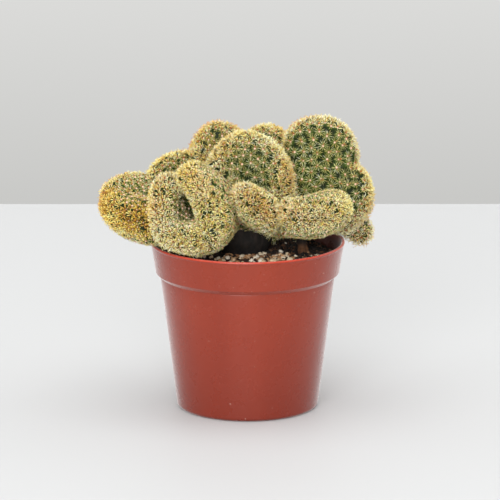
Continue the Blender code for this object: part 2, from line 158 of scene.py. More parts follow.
# Looks of the radial spines, as shares from 0 to 1.
FOLD_GOLD = 0.6
FOLD_GOLD_GAIN = 0.6
YOUNG_GOLD = 0.3
GOLD_WAVES = 0.07
GOLD_PATCHES = 0.35
GOLD_SPREAD = 0.45
UNDERSIDE_PALER = 0.9
BROWN_WAVES = 0.06
BROWN_SHIFT = Vector((40, 0, 0))
BROWN_BASE = 0.1
BROWN_MEAN = 0.7
BROWN_PATCHES = 2.2
SHARED_SHADE = 0.5
OLD_SHADE = 0.6
YOUNG_SHADE_GAIN = 0.4
YOUNG_SHADE = 0.1
BRIGHT_SHARE = 0.25
BRIGHT_SHARE_GAIN = 0.15
BRIGHT_STEP = 0.45
GOLD_DARKENING = 0.4
GOLD_DARK_START = 0.7

# Central spines, two or three in each areole, and the tuft of wool.
CENTRAL_COUNTS = (2, 3)
CENTRAL_LEAN = (15, 60)
CENTRAL_SWING = 0.8
CENTRAL_LENGTH = (0.9, 1.7)
CENTRAL_RADIUS = 0.21
CENTRAL_RISE = 0.3
CENTRAL_OFFSET = 0.15
TUFT_RADIUS = 0.45
TUFT_RIDGE_LOSS = 0.16
TUFT_SPREAD = (0.7, 1.3)
TUFT_UNEVENNESS = (0.85, 1.15)
TUFT_OFFSET = 0.22
TUFT_RISE = 0.1
TUFT_FLATNESS = 0.8

# The radial spines are split into four pieces by place.
BACK_START = 24.0
MIDDLE_HALF_WIDTH = 16.0

# Pot: the section of the frame's own pot, turned on many more sides.
POT_HEIGHT = 75.2
POT_SIDES = 192
WALL = 1.0
FOOT_RADIUS = 31.6
FOOT_ROUNDING = 1.9
FOOT_RING_WIDTH = 3.0
FOOT_DISC_RADIUS = 9.0
FOOT_RECESS = 2.0
FOOT_SLOPE = 1.0
FLOOR_TOP = 3.2
FLOOR_ROUNDING = 1.5
STEP_HEIGHT = 59.2
STEP_RADIUS = 38.7
STEP_ROUNDING = 0.5
RIM_HEIGHT = 61.6
RIM_RADIUS = 40.9
RIM_INNER_RADIUS = 39.8
LIP_RADIUS = 43.2
LIP_BEAD = 0.7
INSIDE_MARGIN = 0.3
INSIDE_TOP = 0.9
LIP_GLOW = (0.0743, 0.0749)
WALL_SOIL_AND_SHADE = (0.0718, 0.0743, 0.8, 0)
DRAIN_COUNT = 6
DRAIN_RADIUS = 3.2
DRAIN_CIRCLE_RADIUS = 19.0
DRAIN_SIDES = 32
WALL_ROWS = 24
SHARP_ANGLE = math.radians(35)

# Soil: peat with crumbs and grit on it, round the plant's woody collar.
GAP = 0.3
SOIL_TOP = 68.5
SOIL_SIDES = 180
SOIL_RINGS = 44
SOCKET_DEPTH = 14.0
SOCKET_RADIUS = 10.6
SOIL_EDGE_DROP = 0.6
SOIL_LUMPS = ((0.16, 0.7), (0.5, 0.4), (1.5, 0.2))
LUMP_WAVES = 1.3
LUMP_LENGTH = (0.8, 1.25)
LUMP_WIDTH = (0.8, 1.1)
LUMP_SHIFT = 90
LUMP_ROOM = 0.7
CRUMB_COUNT = 2000
CRUMB_RADIUS = (0.35, 1.2)
CRUMB_SKEW = 2.2
CRUMB_RISE = (-0.2, 0.4)
CRUMB_FLATNESS = (0.6, 1.0)
CRUMB_RAGGEDNESS = 0.9
GRIT_COUNT = 280
GRIT_RADIUS = (0.5, 1.5)
GRIT_SKEW = 1.6
GRIT_RISE = (0.1, 0.5)
GRIT_FLATNESS = (0.55, 0.85)
GRIT_RAGGEDNESS = 0.75
GRIT_PATCH = (7.0, -9.5)
GRIT_SPREAD = (17.0, 7.0)
GRIT_ELSEWHERE = 0.02
FIBRE_COUNT = 60
FIBRE_ROOM = 4.0
FIBRE_STEP = 0.9
FIBRE_BEND = 0.5
FIBRE_RISE = (0.2, 0.9)
FIBRE_RADII = (0.09, 0.13, 0.14, 0.13, 0.12, 0.1, 0.05)
FIBRE_SIDES = 5
FIBRE_TONE = (0.6, 1.0)
COLLAR_CENTRE = (-1.0, 9.0)
COLLAR_PROFILE = [(9.0, 54.8), (9.6, 62.0), (10.2, 69.0), (12.5, 76.0), (9.0, 86.0)]
COLLAR_SIDES = 96
COLLAR_ROWS = 60
FURROW_WAVES = (0.9, 0.9, 0.22)
FURROW_DEPTH = 0.55
FURROW_TOP = 0.2
BARK_WAVES = 0.8
BARK_DEPTH = 0.25
STUB_PATH = [(25.2, 5.5, 66.0), (24.8, 5.0, 70.0), (23.8, 4.5, 74.5), (22.5, 5.0, 80.0)]
STUB_RADIUS = 2.1
STUB_ROWS = 24
STUB_SIDES = 28
STUB_FLARE = 0.35
STUB_FLARE_ROWS = 10
STUB_UNEVENNESS = 0.06
STUB_WAVES = 0.9
STUB_DEPTH = 0.25
STUB_SHADE = (70.5, 74.0)

# Each fold of the crest is a thick sheet between its rounded ridge and its root.
# A ridge point is x, y, z and the ridge's radius. A root point is x, y, z and half the sheet's thickness.
# The two numbers after them are the spacing of areoles on the fold's faces and how golden its spines are.
FOLDS = {
    "left_upper": (
        [(-38, 16, 91, 8.5), (-46, 15.5, 94, 8.5), (-52.5, 12, 95, 8.5), (-57.5, 5, 94, 8.5)],
        [(-20, 10, 78, 8), (-32, 5, 80, 8)],
        3.3, 0.35,
    ),
    "left_lower": (
        [(-57, 3, 91.5, 9), (-56, -4, 90, 9.5), (-50.5, -9.5, 87.5, 10.5), (-43.5, -13, 86.3, 11)],
        [(-34, 6, 82, 6.5), (-24, 2, 80, 8)],
        3.2, 1.0,
    ),
    "coil_left": (
        [
            (-30, -9, 101.3, 6.5), (-35.6, -13.5, 101.8, 7), (-36.9, -19.5, 94, 7.2),
            (-34.6, -24, 84.6, 7.3), (-25, -27, 82, 8),
        ],
        [(-22, 2, 97, 5), (-20, 1, 91, 5), (-18, 0, 86, 6)],
        3.1, 0.2,
    ),
    "coil_right": (
        [
            (-23, -16, 106.3, 8.7), (-18.3, -21, 101.3, 9.2), (-14.6, -25.5, 92.8, 9.5),
            (-15.8, -27.3, 85.2, 9.3), (-22, -27, 82.2, 8.7),
        ],
        [(-12, 0, 94, 8), (-10, -1, 84, 7)],
        3.2, 0.3,
    ),
    "back_left": (
        [(-39.5, 17, 95.5, 8.5), (-36, 19, 100.5, 8.5), (-30, 20, 103.5, 8.5), (-22, 20, 103, 8)],
        [(-28, 12, 76, 8), (-16, 12, 76, 8)],
        3.2, 0.35,
    ),
    "upper_left": (
        [
            (-16, 19, 100, 8), (-18.4, 22, 107, 8.5), (-17, 24, 113, 8.5),
            (-12.5, 25, 116, 8.5), (-6.5, 26, 113, 8),
        ],
        [(-14, 12, 80, 8), (-4, 12, 78, 8)],
        2.8, 0.35,
    ),
    "centre": (
        [
            (-10.5, 0, 96, 8), (-11.5, 1, 103, 8.5), (-9.5, 3, 109.5, 8.5), (-3, 5, 115, 9),
            (5, 6, 113, 9), (10.5, 5, 106.5, 9.5), (12.5, 2, 98, 9.5), (11, 0, 91, 9),
        ],
        [(-7, 6, 84, 10), (6, 6, 82, 10)],
        3.9, 0.2,
    ),
    "centre_back": (
        [(3, 27, 111, 8.5), (9, 28, 114, 8.5), (13, 26, 110, 8), (14, 24, 103, 8)],
        [(0, 14, 78, 8), (10, 14, 78, 8)],
        3.4, 0.45,
    ),
    "right": (
        [
            (24, 15, 102, 8.5), (23.8, 17, 110.5, 9), (25.7, 18, 117.5, 9),
            (35.5, 18, 118.2, 9.5), (40.8, 17, 111.3, 9.3), (39.5, 15, 102, 9),
        ],
        [(25, 10, 88, 9), (36, 9, 86, 9)],
        4.3, 0.1,
    ),
    "right_lower": (
        [(43, 14, 101, 8.5), (47, 12, 97, 9), (46.5, 9, 90, 9.5), (42, 7, 85, 9)],
        [(30, 11, 88, 8), (26, 7, 80, 8)],
        4.0, 0.25,
    ),
    "right_foot": (
        [(38, 19, 88, 7.5), (45.5, 17.5, 82, 7.5), (49.5, 14.7, 76.2, 7.2)],
        [(28, 12, 87, 8), (31, 8, 89.5, 5.5)],
        3.8, 0.25,
    ),
    "front_left": (
        [(-0.5, -20, 98, 8.5), (4, -22, 95, 9.5), (9, -21, 91.5, 9)],
        [(2, -4, 88, 6), (10, -3, 86, 6)],
        3.1, 0.2,
    ),
    "front_right": (
        [(18.5, -21, 91, 9), (24, -23, 90.8, 10.3), (31, -23, 91.8, 10.8), (36.3, -20, 93.3, 10.2)],
        [(12, -3, 84, 6), (22, -2, 84, 6)],
        3.1, 0.25,
    ),
    "rear_left": (
        [(-40, 26, 87, 8.5), (-32, 35, 91, 9), (-20, 40, 94, 9.5), (-10, 38, 96, 9)],
        [(-24, 14, 80, 8), (-10, 16, 78, 8)],
        3.9, 0.4,
    ),
    "rear_middle": (
        [(-12, 36, 88, 9), (-3, 44, 92, 9.5), (8, 46, 96, 9.5), (14, 38, 98, 9)],
        [(-8, 16, 76, 8), (6, 16, 76, 8)],
        4.1, 0.3,
    ),
    "rear_right": (
        [(18, 34, 100, 9), (27, 38, 98, 9.5), (36, 34, 93, 9.5), (42, 27, 88, 9)],
        [(10, 16, 78, 8), (22, 12, 81, 8)],
        3.9, 0.35,
    ),
}


# Shapes of the folds, as in the frame's own crest.


def smooth_point(points, t):
    """A Catmull-Rom curve through points of any dimension, for t from 0 to 1."""
    spans = len(points) - 1
    span = min(int(t * spans), spans - 1)
    u = t * spans - span
    before = points[max(span - 1, 0)]
    here, after = points[span], points[span + 1]
    beyond = points[min(span + 2, spans)]
    return [
        0.5 * (2 * b + (c - a) * u + (2 * a - 5 * b + 4 * c - d) * u * u + (3 * b - a - 3 * c + d) * u ** 3)
        for a, b, c, d in zip(before, here, after, beyond)
    ]


def even_parameters(points, step):
    """Curve parameters whose points lie about one step apart along the curve."""
    places = [Vector(smooth_point(points, k / CURVE_STEPS)[:3]) for k in range(CURVE_STEPS + 1)]
    lengths = [0.0]
    for a, b in zip(places, places[1:]):
        lengths.append(lengths[-1] + (b - a).length)
    count = max(2, round(lengths[-1] / step))
    goals = [lengths[-1] * k / count for k in range(count + 1)]
    nearest = [min(range(CURVE_STEPS + 1), key=lambda n: abs(lengths[n] - goal)) for goal in goals]
    return [n / CURVE_STEPS for n in nearest]


def end_cap(column, sign):
    """The cross-sections that round off one end of a fold."""
    top, bottom, tangent, radius, thickness, _ = column
    count = round(radius * math.pi / 2 / FOLD_STEP)
    return [(top, bottom, tangent, radius, thickness, sign * k / count) for k in range(1, count + 1)]


def fold_columns(ridge, root):
    """A fold's cross-sections: ridge and root point, tangent, radius, half thickness, share of end cap."""
    columns = []
    for t in even_parameters(ridge, FOLD_STEP):
        *ridge_point, outline = smooth_point(ridge, t)
        *root_point, thickness = smooth_point(root, t)
        ahead = Vector(smooth_point(ridge, min(t + TANGENT_STEP, 1))[:3])
        behind = Vector(smooth_point(ridge, max(t - TANGENT_STEP, 0))[:3])
        tangent = (ahead - behind).normalized()
        radius = outline - SKIN_DEPTH
        columns.append((Vector(ridge_point), Vector(root_point), tangent, radius, thickness, 0.0))
    return end_cap(columns[0], -1)[::-1] + columns + end_cap(columns[-1], 1)


def fold_section(column, side_rows, top_rows):
    """The points of one cross-section: up one face, over the rounded ridge and down the other face."""
    top, bottom, tangent, radius, thickness, cap = column
    shrink = math.cos(math.pi / 2 * cap)
    shift = tangent * math.sin(math.pi / 2 * cap)
    drop = bottom - top
    sideways = tangent.cross(drop).normalized()
    down = (drop - tangent * drop.dot(tangent)).normalized()
    middles, halves = [], []
    for row in range(side_rows, 0, -1):
        depth = row / side_rows
        middles.append(top + drop * depth + shift * (radius + (thickness - radius) * depth))
        halves.append(sideways * (radius + (thickness - radius) * min(1, depth * NECK_RATE)) * shrink)
    up_face = [middle + half for middle, half in zip(middles, halves)]
    down_face = [middle - half for middle, half in zip(middles, halves)][::-1]
    over = []
    for row in range(top_rows + 1):
        angle = math.pi * (0.5 - row / top_rows)
        outward = sideways * math.sin(angle) - down * math.cos(angle)
        over.append(top + shift * radius + outward * radius * shrink)
    return up_face + over + down_face


def fold_surface(ridge, root):
    """A fold's cross-sections as lists of points, all of the same length, and the line along its top."""
    columns = fold_columns(ridge, root)
    drop = sum((column[0] - column[1]).length for column in columns) / len(columns)
    radius = sum(column[3] for column in columns) / len(columns)
    side_rows = max(2, round(drop / FOLD_STEP))
    top_rows = 2 * round(radius * math.pi / 2 / FOLD_STEP)
    sections = [fold_section(column, side_rows, top_rows) for column in columns]
    growing_line = [section[side_rows + top_rows // 2] for section in sections]
    return sections, growing_line


# Meshes and objects.


def bridge(bm, low, high):
    """Faces between two rings with the same number of corners, or between a ring and one corner."""
    sides = max(len(low), len(high))
    for k in range(sides):
        after = (k + 1) % sides
        corners = [low[k % len(low)], low[after % len(low)], high[after % len(high)], high[k % len(high)]]
        bm.faces.new(dict.fromkeys(corners))


def join_rings(bm, rings):
    """Faces between each ring and the one after it."""
    for low, high in zip(rings, rings[1:]):
        bridge(bm, low, high)


def wall_faces(rings, sides):
    """The faces of a wall whose rings of corners are numbered one after another."""
    around = [(k, (k + 1) % sides, (k + 1) % sides + sides, k + sides) for k in range(sides)]
    return [tuple(ring * sides + k for k in face) for ring in range(rings - 1) for face in around]


def new_object(name, mesh, material):
    """An object with one material, in the scene."""
    obj = bpy.data.objects.new(name, mesh)
    bpy.context.scene.collection.objects.link(obj)
    mesh.materials.clear()
    mesh.materials.append(material)
    return obj


def from_bmesh(name, bm, material):
    """An object in metres, its faces turned outwards, from a bmesh in millimetres, which is freed."""
    bmesh.ops.recalc_face_normals(bm, faces=bm.faces)
    bmesh.ops.scale(bm, vec=(MM, MM, MM), verts=bm.verts)
    mesh = bpy.data.meshes.new(name)
    bm.to_mesh(mesh)
    bm.free()
    mesh.shade_smooth()
    return new_object(name, mesh, material)


def from_arrays(name, points, faces, material):
    """An object in metres from an array of points in millimetres and a list of faces."""
    mesh = bpy.data.meshes.new(name)
    mesh.from_pydata((np.asarray(points) * MM).tolist(), [], faces)
    mesh.shade_smooth()
    return new_object(name, mesh, material)


def from_copies(name, copies, faces, material):
    """One object from many bodies with the same faces, each with its own points."""
    all_faces = [faces + index * len(points) for index, points in enumerate(copies)]
    return from_arrays(name, np.concatenate(copies), np.concatenate(all_faces).tolist(), material)


def lump_shape(subdivisions):
    """The points and faces of a round lump."""
    ball = bmesh.new()
    bmesh.ops.create_icosphere(ball, subdivisions=subdivisions, radius=1)
    shape = np.array([vert.co for vert in ball.verts])
    faces = np.array([[vert.index for vert in face.verts] for face in ball.faces])
    ball.free()
    return shape, faces


def set_values(obj, name, values):
    """Stores one number for each corner point of an object's mesh, for its material to read."""
    layer = obj.data.attributes.new(name, "FLOAT", "POINT")
    layer.data.foreach_set("value", np.asarray(values, dtype=np.float32))


def apply_modifier(obj, kind, **settings):
    """Adds a modifier, replaces the object's mesh with the result, and removes the modifier."""
    modifier = obj.modifiers.new(kind.lower(), kind)
    for name, value in settings.items():
        setattr(modifier, name, value)
    bpy.context.view_layer.update()
    graph = bpy.context.evaluated_depsgraph_get()
    changed = bpy.data.meshes.new_from_object(obj.evaluated_get(graph))
    obj.modifiers.remove(modifier)
    obj.data = changed


def points_and_normals(obj):
    """An object's points in millimetres and their normals, as arrays."""
    mesh = obj.data
    points = np.empty(len(mesh.vertices) * 3)
    normals = np.empty(len(mesh.vertices) * 3)
    mesh.vertices.foreach_get("co", points)
    mesh.vertex_normals.foreach_get("vector", normals)
    return points.reshape(-1, 3) / MM, normals.reshape(-1, 3)


def move_points(obj, points):
    """Moves an object's points to places in millimetres."""
    obj.data.vertices.foreach_set("co", (points * MM).ravel())
    obj.data.update()


def surface_tree(obj):
    """A search tree over an object's surface, in millimetres."""
    bm = bmesh.new()
    bm.from_mesh(obj.data)
    bmesh.ops.scale(bm, vec=(1 / MM, 1 / MM, 1 / MM), verts=bm.verts)
    tree = BVHTree.FromBMesh(bm)
    bm.free()
    return tree


def search_tree(points):
    """A search tree over points, which finds the nearest ones to a place."""
    tree = KDTree(len(points))
    for index, point in enumerate(points):
        tree.insert(point, index)
    tree.balance()
    return tree


def smooth_step(low, high, value):
    """A smooth rise from 0 at the low value to 1 at the high one."""
    share = np.clip((value - low) / (high - low), 0, 1)
    return share * share * (3 - 2 * share)


def unit(vectors):
    """Vectors brought to a length of 1."""
    return vectors / np.maximum(np.linalg.norm(vectors, axis=1, keepdims=True), TINY)


def turns(sides):
    """Angles at even steps round a circle."""
    return [2 * math.pi * k / sides for k in range(sides)]


def random_way(rng):
    """A direction with no leaning to any side."""
    return Vector([rng.gauss(0, 1) for _ in range(3)]).normalized()


# Materials. Colours are the 0 to 255 values that a picture shows.

WHITE = (255, 255, 255)


class Nodes:
    """The node tree of a new material or world, with short ways to add and join its nodes."""

    def __init__(self, name, world=False):
        self.owner = (bpy.data.worlds if world else bpy.data.materials).new(name)
        self.owner.use_nodes = True
        self.tree = self.owner.node_tree
        self.shader = self.tree.nodes["Background" if world else "Principled BSDF"]

    def add(self, kind, inputs=(), **settings):
        node = self.tree.nodes.new("ShaderNode" + kind)
        for name, value in settings.items():
            setattr(node, name, value)
        for name, value in dict(inputs).items():
            self.put(node.inputs[name], value)
        return node

    def put(self, socket, value):
        """Joins another node's output to a socket, or sets the socket's own value."""
        if isinstance(value, bpy.types.NodeSocket):
            self.tree.links.new(value, socket)
        else:
            socket.default_value = value

    def shade(self, **values):
        """Sets or joins the shader's sockets. Underscores in a name stand for spaces."""
        for name, value in values.items():
            self.put(self.shader.inputs[name.replace("_", " ")], value)

    def value(self, name):
        """A number stored with the mesh."""
        return self.add("Attribute", attribute_name=name).outputs["Fac"]

    def place(self):
        return self.add("TexCoord").outputs["Object"]

    def height(self):
        """The height over the table, in metres."""
        return self.add("SeparateXYZ", {"Vector": self.place()}).outputs["Z"]

    def noise(self, scale, detail=2.0, rough=0.5, stretch=None):
        """A noise value. The scale is in waves a metre."""
        place = self.place()
        if stretch:
            place = self.add("Mapping", {"Vector": place, "Scale": stretch}).outputs["Vector"]
        wants = {"Vector": place, "Scale": scale, "Detail": detail, "Roughness": rough}
        return self.add("TexNoise", wants).outputs["Fac"]

    def ramp(self, value, *stops):
        """Colours at places from 0 to 1. Each stop is its place, red, green and blue."""
        node = self.add("ValToRGB", {"Fac": value})
        elements = node.color_ramp.elements
        while len(elements) < len(stops):
            elements.new(0.5)
        for element, (place, *colour) in zip(elements, stops):
            element.position = place
            element.color = srgb(*colour)
        return node.outputs["Color"]

    def mix(self, share, first, second, blend="MIX"):
        node = self.add("Mix", data_type="RGBA", blend_type=blend)
        for socket, value in zip((node.inputs[0], node.inputs[6], node.inputs[7]), (share, first, second)):
            self.put(socket, value)
        return node.outputs[2]

    def tint(self, colour, share, *tone):
        """Moves a colour by a share towards a tone of red, green and blue."""
        return self.mix(share, colour, srgb(*tone))

    def multiply(self, first, second):
        node = self.add("Math", operation="MULTIPLY")
        self.put(node.inputs[0], first)
        self.put(node.inputs[1], second)
        return node.outputs["Value"]

    def between(self, value, low, high, to_low=0.0, to_high=1.0):
        """A value moved from one range to another, and kept inside it."""
        wants = {"Value": value, "From Min": low, "From Max": high, "To Min": to_low, "To Max": to_high}
        return self.add("MapRange", wants).outputs["Result"]

    def painted_crease_shade(self, colour, *deep):
        """Painted shade: darkens a colour towards another where the view is tight, in creases and hollows.
        """
        share = self.ramp(self.value("free"), (0.15, *deep), (0.55, *WHITE))
        return self.mix(1.0, colour, share, "MULTIPLY")

    def bump(self, height, depth_mm):
        wants = {"Height": height, "Distance": depth_mm * MM, "Strength": 1.0}
        return self.add("Bump", wants).outputs["Normal"]


def srgb(red, green, blue):
    """A colour in linear light from the 0 to 255 values that a picture shows."""
    def linear(value):
        share = value / 255
        return share / 12.92 if share <= 0.04045 else ((share + 0.055) / 1.055) ** 2.4

    return (linear(red), linear(green), linear(blue), 1)


def skin_material():
    """Waxy green skin with paler patches and speckles, and painted shade between the tubercles and in the
    creases.
    """
    nodes = Nodes("cactus_skin")
    relief, young = nodes.value("relief"), nodes.value("young")
    # Painted shade: the skin darkens from the tubercle tops down into the furrows between them.
    old = nodes.ramp(relief, (0.0, 18, 30, 3), (0.5, 42, 64, 9), (1.0, 76, 98, 22))
    fresh = nodes.ramp(relief, (0.0, 16, 26, 3), (0.5, 42, 56, 10), (1.0, 92, 92, 24))
    colour = nodes.mix(young, old, fresh)
    # Painted shade in the creases, where the view is tight.
    colour = nodes.painted_crease_shade(colour, 70, 64, 54)
    patches = nodes.ramp(nodes.noise(90), (0.3, 196, 214, 176), (0.7, 255, 250, 235))
    colour = nodes.mix(0.8, colour, patches, "MULTIPLY")
    speckle = nodes.noise(2600, 3, 0.6)
    colour = nodes.tint(colour, nodes.between(speckle, 0.56, 0.7, 0, 0.25), 150, 168, 96)
    nodes.shade(
        Base_Color=colour,
        Roughness=nodes.between(nodes.noise(500), 0.3, 0.7, 0.5, 0.7),
        Specular_IOR_Level=0.2,
        Normal=nodes.bump(speckle, 0.05),
    )
    return nodes.owner


def spine_material():
    """Reads how far along its spine a point is, and how golden, dark-tipped and light the spine is."""
    nodes = Nodes("cactus_spines")
    along, gold = nodes.value("along"), nodes.value("gold")
    brown, shade = nodes.value("brown"), nodes.value("shade")
    pale = nodes.ramp(shade, (0.0, 116, 122, 62), (0.4, 236, 232, 154), (1.0, 255, 255, 232))
    golden = nodes.ramp(shade, (0.0, 166, 112, 30), (0.45, 248, 208, 78), (1.0, 255, 248, 156))
    colour = nodes.mix(gold, pale, golden)
    # Painted shade: each spine darkens towards its root, down in the shade of the coat.
    root_shade = nodes.ramp(along, (0.1, 196, 190, 156), (0.6, *WHITE))
    colour = nodes.mix(1.0, colour, root_shade, "MULTIPLY")
    # Painted shade on the spines in the creases, where the view is tight.
    colour = nodes.painted_crease_shade(colour, 84, 74, 58)
    near_tip = nodes.multiply(nodes.between(along, 0.5, 0.9), brown)
    colour = nodes.tint(colour, near_tip, 206, 122, 64)
    near_root = nodes.between(along, 0.09, 0.17, 0.75, 0.0)
    colour = nodes.tint(colour, near_root, 196, 112, 60)
    nodes.shade(
        Base_Color=colour,
        Roughness=nodes.between(along, 0.0, 1.0, 0.45, 0.3),
        Specular_IOR_Level=0.75,
    )
    return nodes.owner


def central_material():
    """Amber spines with pale tips, and painted shade in the creases."""
    nodes = Nodes("central_spines")
    along = nodes.value("along")
    colour = nodes.ramp(along, (0.0, 148, 60, 20), (0.45, 198, 104, 40), (1.0, 238, 184, 120))
    # Painted shade in the creases, where the view is tight.
    colour = nodes.painted_crease_shade(colour, 84, 74, 58)
    nodes.shade(Base_Color=colour, Roughness=nodes.between(along, 0.0, 1.0, 0.5, 0.35))
    return nodes.owner


def wool_material():
    """Short cream wool with a pink ground."""
    nodes = Nodes("areole_wool")
    fibres = nodes.noise(4200, 3, 0.7)
    colour = nodes.ramp(fibres, (0.3, 220, 160, 120), (0.7, 255, 234, 216))
    nodes.shade(Base_Color=colour, Roughness=0.9, Sheen_Weight=0.4, Normal=nodes.bump(fibres, 0.12))
    return nodes.owner


def bark_material():
    """Flaky bark: in its own colour where the tone is 1, and darkened with painted shade where the tone is
    0.
    """
    nodes = Nodes("woody_collar")
    flakes = nodes.noise(420, 5, 0.65, stretch=(1, 1, 0.35))
    # Painted shade: a near-black version of the bark.
    shaded_bark = nodes.ramp(flakes, (0.25, 9, 7, 5), (0.5, 22, 16, 11), (0.8, 48, 34, 24))
    plain_bark = nodes.ramp(flakes, (0.25, 58, 36, 20), (0.5, 112, 74, 46), (0.8, 160, 114, 76))
    colour = nodes.mix(nodes.value("tone"), shaded_bark, plain_bark)
    nodes.shade(
        Base_Color=colour,
        Roughness=nodes.between(flakes, 0.3, 0.7, 0.95, 0.75),
        Normal=nodes.bump(flakes, 0.6),
    )
    return nodes.owner


def peat_material():
    """Dark crumbly peat with lighter grains."""
    nodes = Nodes("peat")
    coarse, fine = nodes.noise(260, 4, 0.6), nodes.noise(1800, 4, 0.7)
    colour = nodes.ramp(coarse, (0.3, 20, 16, 14), (0.55, 48, 36, 28), (0.8, 86, 64, 46))
    colour = nodes.tint(colour, nodes.between(fine, 0.6, 0.75, 0, 0.5), 124, 96, 70)
    nodes.shade(Base_Color=colour, Roughness=0.95, Normal=nodes.bump(fine, 0.4))
    return nodes.owner


def crumb_material():
    """Crumbs of peat and bark. Each has its own tone, stored with the mesh."""
    nodes = Nodes("peat_crumbs")
    tone = nodes.value("tone")
    colour = nodes.ramp(
        tone, (0.0, 14, 12, 11), (0.55, 44, 32, 26), (0.85, 92, 62, 42), (1.0, 120, 84, 54)
    )
    fine = nodes.noise(2200, 4, 0.7)
    colour = nodes.tint(colour, nodes.between(fine, 0.35, 0.7, 0, 0.5), 10, 8, 7)
    nodes.shade(Base_Color=colour, Roughness=0.92, Normal=nodes.bump(fine, 0.3))
    return nodes.owner


def grit_material():
    """Stone chips: white, beige, orange and grey. Each has its own tone, stored with the mesh."""
    nodes = Nodes("grit")
    tone = nodes.value("tone")
    colour = nodes.ramp(
        tone,
        (0.0, 52, 42, 34),
        (0.25, 140, 98, 66),
        (0.5, 206, 158, 112),
        (0.72, 230, 206, 170),
        (1.0, 246, 236, 216),
    )
    grain = nodes.noise(1900, 4, 0.65)
    colour = nodes.tint(colour, nodes.between(grain, 0.52, 0.7, 0, 0.35), 92, 66, 50)
    nodes.shade(
        Base_Color=colour,
        Roughness=nodes.between(grain, 0.3, 0.7, 0.6, 0.85),
        Normal=nodes.bump(grain, 0.15),
    )
    return nodes.owner


def plastic_material():
    """Satin moulded plastic: slight flow marks up the wall, a fine moulded grain and a little dust, with
    painted light on the lip, painted shade low down, and soil and painted shade on the inner wall.
    """
    nodes = Nodes("pot_plastic")
    flow = nodes.noise(60, 3, 0.5, stretch=(1, 1, 0.15))
    colour = nodes.ramp(flow, (0.3, 127, 40, 18), (0.7, 136, 45, 21))
    # Painted light: the top of the lip is brighter orange, as if lit through the thin plastic.
    colour = nodes.tint(colour, nodes.between(nodes.height(), *LIP_GLOW), 174, 50, 26)
    # Painted shade: the wall darkens towards the table.
    colour = nodes.tint(colour, nodes.between(nodes.height(), 0.0, 0.05, 0.7, 0), 108, 31, 12)
    # Soil dirt and painted shade: the inner wall darkens down towards the soil.
    soil_and_shade = nodes.multiply(nodes.value("inside"), nodes.between(nodes.height(), *WALL_SOIL_AND_SHADE))
    colour = nodes.tint(colour, soil_and_shade, 58, 24, 16)
    dust = nodes.noise(900, 2, 0.5)
    colour = nodes.tint(colour, nodes.between(dust, 0.74, 0.78, 0, 0.5), 226, 190, 176)
    grain = nodes.noise(3000, 2, 0.5)
    nodes.shade(
        Base_Color=colour,
        Roughness=nodes.between(nodes.noise(120, 4, 0.6), 0.3, 0.7, 0.24, 0.32),
        Specular_IOR_Level=0.4,
        Coat_Weight=0.15,
        Coat_Roughness=0.2,
        Sheen_Weight=0.5,
        Sheen_Roughness=0.3,
        Normal=nodes.bump(grain, 0.02),
    )
    return nodes.owner


# Crest.


def heart_surface():
    """The old stem inside, as a bmesh."""
    bm = bmesh.new()
    bmesh.ops.create_icosphere(bm, subdivisions=5, radius=1)
    bmesh.ops.scale(bm, vec=HEART_RADII, verts=bm.verts)
    bmesh.ops.translate(bm, vec=HEART_CENTRE, verts=bm.verts)
    return bm


def make_skin(surfaces, material):
    """All folds and the heart fused into one smooth skin."""
    bm = heart_surface()
    for sections, _ in surfaces.values():
        rings = [[bm.verts.new(point) for point in section] for section in sections]
        join_rings(bm, rings)
        bmesh.ops.remove_doubles(bm, verts=[vert for ring in rings for vert in ring], dist=WELD)
    skin = from_bmesh("crest_skin", bm, material)
    apply_modifier(skin, "REMESH", mode="VOXEL", voxel_size=SKIN_VOXEL * MM)
    apply_modifier(skin, "SMOOTH", factor=0.5, iterations=SKIN_SMOOTHING)
    cut_front_crease(skin)
    return skin


def cut_front_crease(skin):
    """Parts the two front folds again where the remesh has blended them."""
    points, normals = points_and_normals(skin)
    near = np.exp(-(((points[:, 0] - FRONT_CREASE_X) / FRONT_CREASE_WIDTH) ** 2))
    near *= 1 - smooth_step(*FRONT_CREASE_END, points[:, 1])
    move_points(skin, points - normals * (FRONT_CREASE_DEPTH * near)[:, None])


class Growth:
    """What the folds say about a place on the skin: its fold and how far it is from the growing line."""

    def __init__(self, surfaces):
        places, self.owners = [], []
        for index, (sections, _) in enumerate(surfaces.values()):
            for section in sections:
                places.extend(section)
                self.owners.extend([index] * len(section))
        self.tree = search_tree(places)
        self.lines = [search_tree(line) for _, line in surfaces.values()]
        rows = list(FOLDS.values())
        self.face_spacing = np.array([row[2] for row in rows])
        self.gold = np.array([row[3] for row in rows])

    def read(self, points):
        """For each point: its fold, its distance to the growing line and the nearest place on that line."""
        folds = np.array([self.owners[self.tree.find(point)[1]] for point in points])
        found = [self.lines[fold].find(point) for fold, point in zip(folds, points)]
        away = np.array([hit[2] for hit in found])
        line = np.array([hit[0] for hit in found])
        return folds, away, line

    def spacing(self, folds, away):
        return RIDGE_SPACING + (self.face_spacing[folds] - RIDGE_SPACING) * smooth_step(*RIDGE_ZONE, away)


